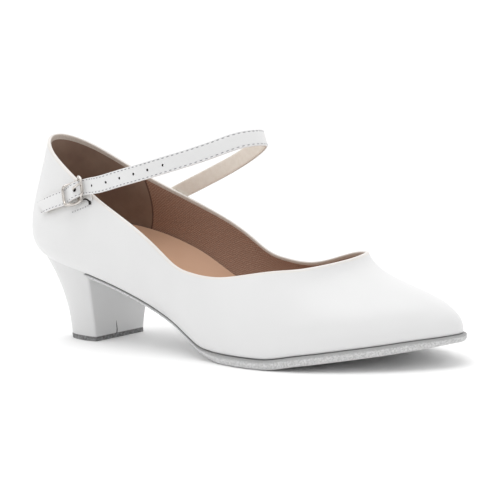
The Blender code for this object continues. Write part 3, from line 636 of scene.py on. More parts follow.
@dataclass(frozen=True)
class Last:
    """The form that the shoe is made on, and the sizes that its pieces share."""

    length: float = 246.0
    ball: float = 80.0
    waist: float = 50.0
    seat: float = 54.0
    seat_height: float = 46.5
    toe_spring: float = 10.1
    back_top: float = 104.0
    throat_height: float = 45.4
    vamp: float = 47.0
    throat_swing: float = -6.0
    throat_tilt: float = 6.0
    collar: float = 68.5
    tilt_along: tuple[float, ...] = (0.0, 0.50, 0.62, 0.72, 0.80, 1.0)
    tilt_share: tuple[float, ...] = (0.0, 0.0, -0.20, -0.17, 0.10, 1.0)
    gap: float = 0.3
    waist_along: float = 108.0
    tread: tuple[float, float] = (146.0, 171.0)
    sole_full: float = 4.3
    sole_thin: float = 1.5
    toe_sole_share: float = 0.75
    toe_thin_start: float = 0.93

    def sole_thickness(self, along: Array) -> Array:
        """Thin under the shank, full under the tread and up to the toe's last part, where it thins again."""
        knots = [0, 0.5 * self.length, *self.tread, self.toe_thin_start * self.length, self.length]
        full, thin = self.sole_full, self.sole_thin
        return steady(knots, [thin, thin, full, full, full * 0.97, full * self.toe_sole_share], along)

    def seat_level(self, along: Array) -> Array:
        """The height of the upper's lower edge: seat, arch, level tread, then toe spring."""
        top = self.seat_height - self.sole_thin - self.gap
        back = ((0.0, 1.0), (0.10, 0.883), (0.20, 0.752), (0.325, 0.535), (0.43, 0.310), (0.49, 0.155), (0.54, 0.050))
        toe = ((0.775, 0.235), (0.85, 0.47), (0.92, 0.69), (1.0, 1.0))
        knots = [x * self.length for x, _ in back] + list(self.tread) + [x * self.length for x, _ in toe]
        heights = [z * top for _, z in back] + [0, 0] + [z * self.toe_spring for _, z in toe]
        return steady(knots, heights, along) + self.sole_thickness(along) + self.gap

    def outward(self, ring: Array) -> Array:
        """Level directions out of a ring that runs from the back by the lateral side."""
        along = np.roll(ring, -1, axis=0) - np.roll(ring, 1, axis=0)
        return unit(np.stack([along[:, 1], -along[:, 0], np.zeros(len(ring))], axis=-1))

    def ribs_at(self, count: int) -> tuple[Array, Array, Array, Array]:
        """The feet, handles and tops of ribs spaced evenly round the lower edge.

        Args:
            count: How many ribs.

        Returns:
            Foot, lower handle, upper handle and top of each, as the four points of a cubic curve.
        """
        throat, climb = self.length - self.vamp, self.back_top - self.throat_height
        rows = []
        sides = [(rib, Side.LATERAL, rib.lateral) for rib in RIBS]
        sides += [(rib, Side.MEDIAL, rib.medial) for rib in RIBS[-2:0:-1]]
        for rib, side, share in sides:
            along = rib.along * self.length
            foot = (along, side.value * share * getattr(self, rib.width), float(self.seat_level(along)))
            swing = self.throat_swing * max(0.0, (rib.top_along - 0.8) / 0.2) ** 1.5
            top = (rib.top_along * throat, side.value * rib.top_out * self.collar + swing)
            tilted = steady(self.tilt_along, self.tilt_share, rib.top_along)
            tilt = self.throat_tilt * side.value * rib.top_out * tilted
            height = self.throat_height + rib.top_up * climb + tilt
            rows.append((*foot, *top, height, rib.rise, rib.flare, rib.drop, rib.lean))
        rows = np.array(rows)
        knots = lengths(np.vstack([rows, rows[:1]])[:, :2])
        values = smooth(knots, rows, np.linspace(0, knots[-1], count, endpoint=False), closed=True)
        foot, top = values[:, :3], values[:, 3:6]
        foot[:, 2] = self.seat_level(foot[:, 0])
        flare, lean = np.radians(values[:, 7:8]), np.radians(values[:, 9:10])
        up = np.array([0, 0, 1])
        low = foot + values[:, 6:7] * (np.cos(flare) * up + np.sin(flare) * self.outward(foot))
        high = top + values[:, 8:9] * (-np.cos(lean) * up + np.sin(lean) * self.outward(top))
        return foot, low, high, top

    def wall(self, count: int, shares: Array) -> Array:
        """The outer wall as rings: a cubic Bezier curve along each rib.

        Args:
            count: How many ribs.
            shares: How far up each rib the rings lie, one row for each ring, the same for all ribs or one for each.

        Returns:
            The rings' points, as rings by ribs by 3.
        """
        foot, low, high, top = self.ribs_at(count)
        share = np.broadcast_to(np.asarray(shares).reshape(len(shares), -1), (len(shares), count))[..., None]
        left = 1 - share
        return left**3 * foot + 3 * left**2 * share * low + 3 * left * share**2 * high + share**3 * top

    def normals(self, rings: Array) -> Array:
        """Unit directions out of a wall of rings: the way round crossed with the way up."""
        wrapped = np.concatenate([rings[:, -1:], rings, rings[:, :1]], axis=1)
        return unit(np.cross(np.gradient(wrapped, axis=1)[:, 1:-1], np.gradient(rings, axis=0)))

    def inner_ring(self, ring: Array, width: float) -> Array:
        """A ring set in from a sole ring by width, towards the last's spine."""
        spine = ring.copy()
        spine[:, 0] = np.clip(ring[:, 0], self.seat / 2, self.length - self.ball / 2)
        spine[:, 1] = 0
        moved = ring + width * unit(spine - ring) * [1, 1, 0]
        moved[:, 2] = self.seat_level(moved[:, 0])
        return moved

    def side_point(self, side: Side, along: float, height: float) -> tuple[Array, Array]:
        """The wall's outer face at a place on one side.

        Args:
            side: The side of the shoe.
            along: How far along the last.
            height: How high above the floor.

        Returns:
            The point and the way out of the wall there, from the plane that fits the wall within 4 mm.
        """
        rings = self.wall(400, np.linspace(0, 1, 60))
        points = rings[:, (rings[0, :, 1] * side.value) > 0].reshape(-1, 3)
        place = points[np.argmin((points[:, 0] - along) ** 2 + (points[:, 2] - height) ** 2)]
        near = points[np.linalg.norm(points - place, axis=1) < 4]
        centre = near.mean(axis=0)
        normal = np.linalg.svd(near - centre)[2][2]
        normal = normal * np.sign(normal[1] * side.value)
        lift = (centre - [along, 0, height]) @ (normal * [1, 0, 1]) / normal[1]
        return np.array([along, centre[1] + lift, height]), normal

    def sole_edges(self, shank_out: float, tread_out: float) -> tuple[Array, Array]:
        """The sole's lateral and medial edges from back to toe.

        Args:
            shank_out: How far they stand out from the last up to the waist.
            tread_out: How far they stand out from the tread on.

        Returns:
            The two edges.
        """
        ring = self.ribs_at(1440)[0]
        out = np.interp(ring[:, 0], (self.waist_along, self.tread[0]), (shank_out, tread_out))
        ring = ring + out[:, None] * self.outward(ring)
        toe, back = int(ring[:, 0].argmax()), int(ring[:, 0].argmin())
        return ring[back : toe + 1], np.vstack([ring[toe:], ring[: back + 1]])[::-1]


@dataclass(frozen=True)
class Crease:
    """A soft ridge or trough in the wall's leather, along a line between two places on one side.

    start and end are places along the last and above the floor. The lift falls off as exp(-(distance / width)^2).
    """

    side: Side
    start: tuple[float, float]
    end: tuple[float, float]
    width: float
    lift: float

    def lift_at(self, points: Array) -> Array:
        """How far the leather stands out at each point of the wall, in millimetres."""
        start, end = np.array(self.start), np.array(self.end)
        place = points[..., [0, 2]]
        way = end - start
        share = np.clip(((place - start) @ way) / (way @ way), 0, 1)[..., None]
        distance = np.linalg.norm(place - (start + share * way), axis=-1)
        on_side = 1 / (1 + np.exp(-points[..., 1] * self.side.value / 3))
        return self.lift * np.exp(-((distance / self.width) ** 2)) * on_side


@dataclass
class Upper:
    """The vamp and quarters: one leather shell with a folded, rounded topline, lined inside and lasted under."""

    last: Last
    looks: Finishes
    wall: float = 1.8
    margin: float = 9.0
    fillet: float = 1.1
    bead: float = 0.9
    ribs: int = 560
    creases: tuple[Crease, ...] = (
        Crease(Side.LATERAL, (41.0, 68.0), (54.0, 70.5), 4.2, 0.40),
        Crease(Side.LATERAL, (36.0, 61.5), (54.0, 63.5), 4.0, -0.35),
        Crease(Side.LATERAL, (186.0, 15.0), (238.0, 21.0), 3.2, -0.30),
        Crease(Side.MEDIAL, (186.0, 15.0), (238.0, 21.0), 3.2, -0.30),
        Crease(Side.LATERAL, (64.0, 44.0), (88.0, 39.0), 6.0, 0.25),
        Crease(Side.MEDIAL, (62.0, 50.0), (90.0, 36.0), 7.0, -0.30),
    )

    def build(self) -> list[Piece]:
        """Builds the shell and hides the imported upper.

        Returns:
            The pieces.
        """
        shell = self.shell()
        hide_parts("upper")
        return [shell]

    def shell(self) -> Piece:
        """The whole wall as one closed surface over the ribs and round the wall's own section.

        The section runs in rows: the lasted margin outwards, a small quadratic curve at the feather line, the outer
        wall, half a circle over the topline, then the inner wall and margin back, both set in by the wall.
        """
        last, ribs = self.last, self.ribs
        foot, low, high, top = last.ribs_at(ribs)
        turn_share = self.fillet / (3 * np.linalg.norm(low - foot, axis=1))
        top_share = 1 - self.bead / (3 * np.linalg.norm(top - high, axis=1))
        eased = np.linspace(0, 1, 78)[:, None]
        outer = last.wall(ribs, turn_share + (top_share - turn_share) * eased)
        way_out = last.normals(outer)
        shape = sum(crease.lift_at(outer) for crease in self.creases)
        fade = np.sin(np.pi * np.clip(eased * 1.02, 0, 1)) ** 0.35
        outer = outer + way_out * (shape * fade)[..., None]
        edge = last.inner_ring(foot, self.fillet)
        margin = [last.inner_ring(foot, w) for w in np.linspace(self.margin, self.fillet, 4)]
        bend = np.linspace(0, 1, 8)[1:-1, None, None]
        feather = (1 - bend) ** 2 * edge + 2 * bend * (1 - bend) * foot + bend**2 * outer[0]
        up = unit(outer[-1] - outer[-2])
        middle = outer[-1] - way_out[-1] * self.wall / 2
        turn = np.linspace(0, math.pi, 12)[1:-1, None, None]
        rim = middle + self.wall / 2 * np.cos(turn) * way_out[-1] + self.bead * np.sin(turn) * up
        low_share = self.wall * 1.4 / (3 * np.linalg.norm(low - foot, axis=1))
        inner = last.wall(ribs, low_share * (1 - eased) + top_share * eased)
        inner = inner - last.normals(inner) * self.wall
        inner = inner[::-1][::2]
        under = np.array([last.inner_ring(foot, w) for w in np.linspace(self.fillet + 2.4, self.margin, 4)])
        under[..., 2] += self.wall
        rings = np.concatenate([np.array(margin), feather, outer, rim, inner, under])
        rows = len(rings)
        faces = grid_faces(rows, ribs, True, True)
        first_inner = 4 + len(feather) + len(outer) + len(rim)
        row = np.repeat(np.arange(rows), ribs)
        # The inner half of the rim and the top of the inner wall take the grey-beige finish: painted shade on the
        # white leather.
        inside, on_rim, in_rim_shade = row > first_inner, row >= first_inner - len(rim) - 2, row >= first_inner - 3
        looks = np.select([inside, in_rim_shade, on_rim], [1, 3, 2], 0)
        round_way = lengths(foot)
        up_way = np.cumsum(np.linalg.norm(np.diff(rings, axis=0, prepend=rings[:1]), axis=-1).mean(axis=1))
        flat = np.stack(np.broadcast_arrays(round_way[None, :], up_way[:, None]), axis=-1).reshape(-1, 2)
        finishes = [self.looks.leather, self.looks.lining, self.looks.brim, self.looks.cut_edge_and_rim_shade]
        return make_piece("upper_shell", rings.reshape(-1, 3), [faces], finishes, looks, flat, 70)


@dataclass
class Sock:
    """The padded tan sock: its edges climb the wall, most under the medial arch, and its middle is a shallow dish."""

    last: Last
    looks: Finishes
    wall: float = 1.8
    board: float = 1.8
    toe_gap: float = 1.5
    puff: float = 0.18
    stations: int = 240
    across: int = 48
    along: tuple[float, ...] = (0.0, 0.12, 0.28, 0.42, 0.55, 0.70, 1.0)
    lateral: tuple[float, ...] = (4, 4, 3, 2, 1, 0.6, 0.4)
    medial: tuple[float, ...] = (4, 9.5, 10.5, 7, 3, 1, 0.4)
    middle: tuple[float, ...] = (2, 1.5, 3, 3, 1.5, 0.6, 0.4)

    def climbed_edges(self, shares: Array, climbs: dict[Side, Array]) -> list[Array]:
        """The two lines that stand a climb above the upper's lower edge, just inside its wall.

        Args:
            shares: The stations, as shares of the way from the back end to the toe end.
            climbs: For each side, the climb at each of the knots along the last.

        Returns:
            The lateral and the medial line.
        """
        last = self.last
        inset = self.wall + 2 * last.gap
        rings = last.wall(240, np.linspace(0, 1, 50))
        rings = rings - inset * last.normals(rings)
        lines = []
        for side, wanted in climbs.items():
            columns = np.flatnonzero(rings[0, :, 1] * side.value >= -0.2)
            line = []
            for column in columns:
                path = rings[:, column]
                height = path[:, 2] - last.seat_level(path[:, 0])
                climb = steady(np.array(self.along) * last.length, wanted, path[0, 0])
                line.append(read(height, path, climb))
            line = np.array(line)
            lines.append(line[np.argsort(line[:, 0])])
        start = max(line[0, 0] for line in lines)
        places = start + (min(line[-1, 0] for line in lines) - self.toe_gap - start) * shares
        edges = []
        for line in lines:
            sideways = np.interp(places, line[:, 0], line[:, 1])
            sideways[[0, -1]] = 0
            edges.append(np.stack([places, sideways, np.interp(places, line[:, 0], line[:, 2])], axis=-1))
        return edges

    def build(self) -> list[Piece]:
        """Builds the sock: rows across from the lateral to the medial edge, dished as |2s - 1|^2.4, and an underside.

        Returns:
            The pieces.
        """
        last = self.last
        shares = (1 - np.cos(np.linspace(0, math.pi, self.stations))) / 2
        base = self.wall + last.gap
        low = {side: np.full(len(self.along), base) for side in Side}
        high = {
            Side.LATERAL: np.array(self.lateral) + base + self.board,
            Side.MEDIAL: np.array(self.medial) + base + self.board,
        }
        under, top = self.climbed_edges(shares, low), self.climbed_edges(shares, high)
        places = top[0][:, 0]
        dish = last.seat_level(places) + base + self.board
        dish = dish + steady(np.array(self.along) * last.length, self.middle, places)
        rim = (top[0][:, 2] + top[1][:, 2]) / 2
        open_width = np.clip((top[1][:, 1] - top[0][:, 1]) / (last.seat / 2), 0, 1)
        dish = rim + (dish - rim) * open_width
        share = ((1 - np.cos(np.linspace(0, math.pi, self.across))) / 2)[:, None, None]
        face = top[0] + (top[1] - top[0]) * share
        face[..., 2] = dish + (face[..., 2] - dish) * abs(2 * share[..., 0] - 1) ** 2.4
        puff = self.puff * ripple(face * [1, 1, 0], 34, 7) * open_width * np.sin(np.pi * share[..., 0])
        face[..., 2] += puff
        rows = np.concatenate([face, under[1][None], under[0][None]])
        count = self.stations
        faces = grid_faces(len(rows), count, True, False)
        ends = [np.arange(len(rows))[None, :] * count + end for end in (0, count - 1)]
        ends[1] = ends[1][:, ::-1]
        flat = np.stack([rows[..., 0], rows[..., 1]], axis=-1).reshape(-1, 2)
        points, finishes = rows.reshape(-1, 3), [self.looks.sock]
        sock = make_piece("sock", points, [faces, *ends], finishes, flat=flat, sharp=60)
        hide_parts("insole")
        return [sock]


@dataclass
class Bottom:
    """The suede outsole, the covered heel block with its seam, and the rubber lift."""

    last: Last
    looks: Finishes
    ledge: float = 1.3
    shank_ledge: float = 0.2
    breast: float = 47.0
    breast_share: float = 0.92
    floor_length: float = 29.0
    floor_width: float = 33.5
    floor_breast: float = 41.0
    lift: float = 2.4
    seam_side: float = -2.6
    seam_top: float = 0.76
    clumps: float = 0.10
    fibres: float = 0.06
    columns: int = 240

    def build(self) -> list[Piece]:
        """Builds the sole, the heel, its seam and the lift.

        Returns:
            The pieces.
        """
        sole, block, lift = self.outsole(), self.block(), self.top_lift()
        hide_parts("outsole")
        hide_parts("heel_block")
        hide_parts("top_lift")
        return [sole, block, lift, self.cover_seam()]

    def outsole(self) -> Piece:
        """The sole: its outline carried down in rings, in which the lower edge curls in over a third of a turn.

        Stations lie closer together towards the toe, as the sine of a quarter turn. Each ring has the lateral edge
        and then the medial one back, so that the faces above and below join matching stations across.
        """
        last = self.last
        lateral, medial = last.sole_edges(self.shank_ledge, self.ledge)
        turn = np.linspace(0, math.pi / 2, 420)
        start = self.breast + last.gap
        stations = start + (lateral[-1, 0] - start) * np.sin(turn) ** 1.15
        sides = [np.interp(stations, edge[:, 0], edge[:, 1]) for edge in (lateral, medial)]
        outline = np.stack([np.append(stations, stations[-2::-1]), np.append(sides[0], sides[1][-2::-1])], axis=-1)
        count = len(outline)
        way = np.gradient(outline, axis=0)
        way_out = unit(np.stack([way[:, 1], -way[:, 0]], axis=-1))
        top = last.seat_level(outline[:, 0]) - last.gap
        thick = last.sole_thickness(outline[:, 0])
        section = [(0.55, 0.0), (0.22, 0.03), (0.05, 0.12), (0.0, 0.25), (0.0, 0.42), (0.03, 0.58), (0.10, 0.73)]
        section += [(0.22, 0.86), (0.38, 0.95), (0.62, 1.0)]
        rings = []
        for inset, down in section:
            plan = outline - way_out * (inset * thick * 0.75)[:, None]
            rings.append(np.column_stack([plan, top - down * thick]))
        rings = np.array(rings)
        fuzz = (self.clumps * ripple(rings, 1.6, 3) + self.fibres * ripple(rings, 0.8, 5))[..., None]
        rings[1:-1, :, :2] += way_out * fuzz[1:-1]
        faces = [grid_faces(len(rings), count)]
        a = np.arange((count - 1) // 2)
        for base in (0, (len(rings) - 1) * count):
            ladder = np.stack([a, a + 1, count - 2 - a, count - 1 - a], axis=-1)[:-1] + base
            tip = np.array([[a[-1], a[-1] + 1, a[-1] + 2]]) + base
            faces += [ladder if base else ladder[:, ::-1], tip if base else tip[:, ::-1]]
        column = np.arange(len(rings))
        back = np.concatenate([column * count, column[::-1] * count + count - 1])
        faces.append(back[None, :])
        # The share down the edge goes into the cut's second coordinate, where the suede's finish paints shadow along
        # the top.
        down = np.array([share for _, share in section])[:, None] / MM
        flat = np.stack(np.broadcast_arrays(outline[None, :, 0], down), axis=-1).reshape(-1, 2)
        finishes = [self.looks.suede]
        return make_piece("suede_outsole", rings.reshape(-1, 3), faces, finishes, flat=flat, sharp=55)

    def outlines(self) -> tuple[Array, Array]:
        """The heel's outline under the seat and on the floor, evenly spaced, their corners softened.

        Each runs from the lateral breast corner round the back and along the breast. The softening is a weighted
        mean of the points within a millimetre.

        Returns:
            The seat's and the floor's outline, as matching points.
        """
        lateral, medial = self.last.sole_edges(-self.last.gap, -self.last.gap)
        turn = np.linspace(0, math.pi, 400)
        line = np.linspace(1, -1, 130)[1:-1]
        back = lateral[0, 0]
        along = back + (self.breast - back) * (1 - np.sin(turn) ** 1.2)
        near = [np.interp(along, edge[:, 0], edge[:, 1]) for edge in (lateral, medial)]
        tuck = 1 - (1 - self.breast_share) * ((along - back) / (self.breast - back)) ** 2
        sideways = np.where(turn < math.pi / 2, near[0], near[1]) * tuck
        across = np.interp(line, (-1, 1), (sideways[0], sideways[-1]))
        seat = np.stack([np.append(along, 0 * line + self.breast), np.append(sideways, across)], axis=-1)
        half, length = self.floor_width / 2, self.floor_length
        bulge = -half * squared(np.cos(turn), 0.8)
        arc = np.stack([-length * np.sin(turn) ** 0.9, bulge], axis=-1)
        floor = np.vstack([arc, np.stack([0 * line, line * half], axis=-1)]) + [self.floor_breast, 0]
        way = lengths(np.vstack([seat, seat[:1]]))
        places = np.linspace(0, way[-1], self.columns, endpoint=False)
        made = []
        for ring in (seat, floor):
            made.append(softened(read(way, np.vstack([ring, ring[:1]]), places), 3))
        return made[0], made[1]

    def ring(self, shares: Array) -> Array:
        """The heel's rings at shares of the way down from the seat: the back sweeps in first and then drops."""
        seat, floor = self.outlines()
        behind = np.clip((self.breast - seat[:, 0]) / self.breast, 0, 1)
        share = np.asarray(shares)[:, None]
        eased = (1 - (1 - share) ** (1.5 + 0.8 * behind))[..., None]
        plan = seat + (floor - seat) * eased
        top = self.last.seat_level(seat[:, 0]) - self.last.gap
        return np.concatenate([plan, (top * (1 - share))[..., None]], axis=-1)

    def closed(self, name: str, rings: Array, finish: Material, slot: str) -> Piece:
        """A solid from stacked rings: each end is drawn in, in rings, to a point at its middle.

        Args:
            name: The piece's name.
            rings: The rings from top to bottom.
            finish: The material.
            slot: Not used.

        Returns:
            The piece.
        """
        pull = np.linspace(0, 1, 10)[1:-1, None, None]
        ends = []
        for ring in (rings[0], rings[-1]):
            ends.append(ring + (ring.mean(axis=0) - ring) * pull)
        if rings[0][:, 2].std() > 0.5:
            ends[0][..., 2] = self.last.seat_level(ends[0][..., 0]) - self.last.gap
        stack = np.concatenate([ends[0][::-1], rings, ends[1]])
        points = np.vstack([stack.reshape(-1, 3), stack[0].mean(axis=0), stack[-1].mean(axis=0)])
        count, rows = rings.shape[1], len(stack)
        a = np.arange(count)
        b = (a + 1) % count
        tips = [
            np.stack([b, a, np.full(count, rows * count)], -1),
            np.stack([a + (rows - 1) * count, b + (rows - 1) * count, np.full(count, rows * count + 1)], -1),
        ]
        return make_piece(name, points, [grid_faces(rows, count, False, True), *tips], [finish], sharp=50)

    def block(self) -> Piece:
        """The covered block, from the seat down to the lift."""
        end = 1 - (self.lift + self.last.gap * 0.2) / self.last.seat_height
        rings = self.ring(np.linspace(0, 1, 70) ** 0.9 * end)
        rings[-1, :, 2] = self.lift + 0.1
        return self.closed("heel_cover", rings, self.looks.cover, "heel_cover")

    def top_lift(self) -> Piece:
        """The rubber lift: its cut edge is uneven by a fifth of a millimetre."""
        start = 1 - self.lift / self.last.seat_height
        rings = self.ring(np.linspace(start, 1, 9))
        rings[:, :, 2] = np.linspace(self.lift, 0, 9)[:, None]
        centre = rings.mean(axis=1, keepdims=True)
        way_out = unit((rings - centre) * [1, 1, 0])
        wear = 0.16 * ripple(rings, 1.7, 11) - 0.05
        rings[1:-1] += (way_out * wear[..., None])[1:-1]
        return self.closed("heel_lift", rings, self.looks.rubber, "lift_rubber")

    def cover_seam(self) -> Piece:
        """The slit on the breast where the cover's edges meet: a thin dark wedge that closes upwards, painted shade
        in the slit.
        """
        steps = 24
        rings = self.ring(np.linspace(1 - (self.lift + 0.3) / self.last.seat_height, self.seam_top, steps))
        behind = rings[0, :, 0] < self.floor_breast - 1
        line = rings[:, int(np.argmin(abs(rings[0, :, 1] - self.seam_side) + 100 * behind))]
        line[:, 1] = self.seam_side + 0.25 * np.sin(np.linspace(0, 5, steps))
        wide = 0.30 * (1 - np.linspace(0, 1, steps)) ** 0.6 + 0.05
        points, faces = tube(line, np.tile([1.0, 0, 0], (steps, 1)), wide, 8)
        points[:, 0] = np.clip(points[:, 0], line[:, 0].repeat(8) - 0.4, line[:, 0].repeat(8) + 0.06)
        return make_piece("heel_cover_seam", points, faces, [self.looks.painted_shade_cut])


@dataclass
class Fastening:
    """The instep strap, the buckle that holds its tail, and the tab that holds the buckle's bar."""

    last: Last
    looks: Finishes
    width: float = 8.0
    thick: float = 1.6
    reach: float = 138.0
    rise: float = 97.3
    lean: float = 27.0
    hole: float = 1.1
    along: float = 46.9
    height: float = 75.1
    length: float = 14.8
    slope: float = 23.0
    strap_slope: float = 17.0
    tail_slope: float = 14.8
    wire: float = 0.75
    tab_thick: float = 0.6
    tab_width: float = 6.4
    tab_length: float = 8.0
    tab_drop: float = 0.6
    tail: float = 18.5
    slant: float = 1.15
    slant_reach: float = 16.0
    free: tuple[tuple[float, float, float], ...] = (
        (0.18, -0.430, 0.176),
        (0.326, -0.430, 0.284),
        (0.489, -0.425, 0.410),
        (0.693, -0.365, 0.596),
        (0.867, -0.230, 0.808),
        (0.98, -0.070, 0.985),
        (1.00, 0.060, 1.000),
        (0.93, 0.220, 0.940),
        (0.755, 0.355, 0.697),
        (0.571, 0.437, 0.445),
    )
    medial_end: tuple[tuple[float, float], ...] = ((68, 73.2), (60, 70.2), (51, 66.6))
    spare_holes: tuple[float, ...] = (60.2, 70.8, 80.0, 89.5, 98.1, 106.1)
    spare_radius: float = 0.62
    stitch_pitch: float = 2.5
    stitch_line: float = 3.2
    prong: float = 0.62

    def __post_init__(self) -> None:
        """Works out the buckle's axes and the strap's route."""
        self.foot, self.out = self.last.side_point(Side.LATERAL, self.along, self.height)
        self.way, self.across = self.axes(self.slope)
        gap = self.last.gap
        self.bar_lift = gap + self.tab_thick + gap + self.wire
        self.over_bar = self.bar_lift + self.wire + gap + self.tab_thick + gap + self.thick / 2
        self.under_ends = self.over_bar - 1.6
        self.line, self.wide, self.deep = self.route()
        self.knots = lengths(self.line)

    def axes(self, slope: float) -> tuple[Array, Array]:
        """The way along the quarter at a slope in degrees, and the way across it."""
        way = np.array([math.cos(math.radians(slope)), 0, math.sin(math.radians(slope))])
        way = unit(way - (way @ self.out) * self.out)
        return way, -np.cross(way, self.out)

    def route(self) -> tuple[Array, Array, Array]:
        """The strap's middle line, its width and its thickness directions, from the tail to the medial end.

        The tail lies on the lateral quarter, the line then rides over the buckle's bar and under its ends, crosses
        the instep free of the quarters, and lies down on the medial one.

        Returns:
            Three arrays of points or directions, evenly spaced.
        """
        last, half = self.last, self.length / 2
        way, across = self.axes(self.strap_slope)
        rest = last.gap + self.thick / 2
        points, widths = [], []
        tail_height = self.height - (self.along - self.tail) * math.tan(math.radians(self.tail_slope))
        back_height = self.height - half * math.sin(math.radians(self.strap_slope))
        for share in (0, 0.5):
            place = self.tail + share * (self.along - half - self.tail)
            up = tail_height + share * (back_height - tail_height)
            point, normal = last.side_point(Side.LATERAL, place, up)
            points.append(point + normal * (rest + share * self.thick))
            widths.append(unit(np.cross(normal, way)))
        for step, lift in ((-half, self.under_ends), (0, self.over_bar), (half, self.under_ends)):
            points.append(self.foot + way * step + self.out * lift)
            widths.append(across)
        span = np.array([self.reach - self.along, last.collar, self.rise - self.height])
        for i, share in enumerate(self.free):
            lean = math.radians(self.lean) * math.sin(math.pi * (i + 0.5) / len(self.free)) ** 1.5
            points.append(np.array([self.along, 0, self.height]) + np.array(share) * span)
            widths.append(np.array([-math.sin(lean), 0, math.cos(lean)]))
        (x0, z0), (x1, z1) = self.medial_end[0], self.medial_end[-1]
        for place, up in self.medial_end:
            point, normal = last.side_point(Side.MEDIAL, place, up)
            points.append(point + normal * rest)
            widths.append(unit(np.cross(normal, [x1 - x0, 0, z1 - z0])))
        points = np.array(points)
        knots = lengths(points)
        places = np.linspace(0, knots[-1], 700)
        line = smooth(knots, points, places)
        wide = smooth(knots, np.array(widths), places)
        ahead = unit(np.gradient(line, axis=0))
        wide = unit(wide - (wide * ahead).sum(axis=1, keepdims=True) * ahead)
        return line, wide, np.cross(ahead, wide)

    def at(self, place: Array, side: Array, deep: Array) -> Array:
        """Points of the strap at lengths along it, distances across it and heights over its middle."""
        centre = read(self.knots, self.line, place)
        wide = unit(read(self.knots, self.wide, place))
        out = unit(read(self.knots, self.deep, place))
        return centre + wide * side[..., None] + out * deep[..., None]

    def build(self) -> list[Piece]:
        """Builds the strap, its stitches, the buckle and the tab.

        Returns:
            The pieces.
        """
        main = [self.strap(), *self.buckle(), self.tab()]
        for piece, node in zip(main, ("ankle_strap", "buckle_frame", "buckle_bar", "buckle_prong", "buckle_tab")):
            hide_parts(node)
        return [*main, self.strap_stitches(), self.tab_stitches(), self.tab_slot()]

    def strap(self) -> Piece:
        """The strap: a closed section carried along the route, its tail cut on the slant, its holes punched.

        The section has a flat face with a sunk stitch line near each edge, a folded edge, and a narrower backing.
        """
        half, deep = self.width / 2, self.thick / 2
        outer = [(0, 0), (-1.2, 0), (-2.2, 0), (-2.75, -0.02), (-3.0, -0.08), (-3.2, -0.12), (-3.4, -0.07)]
        outer += [(-3.6, 0), (-3.78, -0.05), (-3.92, -0.2), (-4.0, -0.45), (-4.0, -0.75), (-3.96, -0.95)]
        outer += [(-3.86, -1.02), (-3.84, -1.3)]
        outer += [(-3.72, -1.52), (-3.5, -1.6), (-2.5, -1.6), (-1.2, -1.6), (0, -1.6)]
        left = np.array(outer) * [half / 4, deep / 0.8] + [0, deep]
        section = np.vstack([left, (left * [-1, 1])[-2:0:-1]])
        count = len(section)
        places = np.linspace(0, self.knots[-1], 560)[:, None]
        slant = self.slant * section[None, :, 0] * np.clip(1 - places / self.slant_reach, 0, 1)
        points = self.at(places - slant, section[:, 0] + 0 * places, section[:, 1] + 0 * places)
        before = np.clip(slant - places, 0, None)[..., None]
        points = points - unit(self.line[3] - self.line[0]) * before
        faces = [grid_faces(len(places), count, False, True), end_caps(len(places), count)]
        column = np.tile(np.arange(count), len(places) - 1)
        fold = np.minimum(column, count - 1 - column)
        looks = np.append(np.select([fold < 11, fold < 14], [0, 2], 1), [2, 2])
        finishes = [self.looks.leather, self.looks.strap_back, self.looks.cut_edge_and_rim_shade, self.looks.painted_shade_cut]
        strap = make_piece("instep_strap", points.reshape(-1, 3), faces, finishes, looks, sharp=60)
        self.punch(strap)
        return strap

    def punch(self, strap: Piece) -> None:
        """Punches the spare holes and the one that the prong stands in: round cutters taken out of the strap."""
        turn = np.linspace(0, 2 * math.pi, 20, endpoint=False)
        near_half = self.line[: len(self.line) // 2]
        middles = [int(np.argmin(abs(near_half[:, 0] - along))) for along in self.spare_holes]
        middles.append(int(np.argmin(np.linalg.norm(near_half - self.prong_route()[0], axis=1))))
        radii = [self.spare_radius] * len(self.spare_holes) + [self.hole]
        points, walls, ends = [], [], []
        for step, (index, radius) in enumerate(zip(middles, radii)):
            ring = np.cos(turn)[:, None] * unit(self.line[index + 1] - self.line[index])
            ring = (ring + np.sin(turn)[:, None] * self.wide[index]) * radius
            out = self.deep[index] * 2.5
            points += [self.line[index] + ring - out, self.line[index] + ring + out]
            base = step * 40
            walls.append(grid_faces(2, 20, False, True) + base)
            ends.append(end_caps(2, 20) + base)
        groups = [np.vstack(walls), np.vstack(ends)]
        # The cutters' walls give the holes the near-black finish: painted shade inside the holes.
        looks = np.full(sum(len(group) for group in groups), 3)
        finishes = [slot.material for slot in strap.material_slots]
        cutter = make_piece("hole_punch", np.vstack(points), groups, finishes, looks)
        cut = strap.modifiers.new("holes", "BOOLEAN")
        cut.operation, cut.object, cut.solver = "DIFFERENCE", cutter, "EXACT"
        cut.material_mode = "INDEX"
        bpy.context.view_layer.update()
        done = bpy.data.meshes.new_from_object(strap.evaluated_get(bpy.context.evaluated_depsgraph_get()))
        strap.modifiers.clear()
        strap.data = done
        bpy.data.objects.remove(cutter)

    def strap_stitches(self) -> Piece:
        """Two rows of stitches 2.5 mm apart along the strap, and a short row across its medial end."""
        places = np.arange(1.6, self.knots[-1] - 1.5, self.stitch_pitch)
        along = np.concatenate([places, places])
        side = np.repeat([self.stitch_line, -self.stitch_line], len(places))
        skip = (np.clip(1 - along / self.slant_reach, 0, 1) * self.slant * side) > along - 0.8
        along = np.append(along[~skip], np.full(4, self.knots[-1] - 1.4))
        side = np.append(side[~skip], np.linspace(-2.4, 2.4, 4))
        deep = np.full(len(along), self.thick / 2 - 0.10)
        middles = self.at(along, side, deep)
        ahead = self.at(along + 0.5, side, deep) - middles
        out = unit(read(self.knots, self.deep, along))
        ahead[-4:] = unit(read(self.knots, self.wide, along))[-4:]
        points, faces = stitches(middles, ahead, out, (0.72, 0.26, 0.16))
        return make_piece("strap_stitches", points, faces, [self.looks.thread])

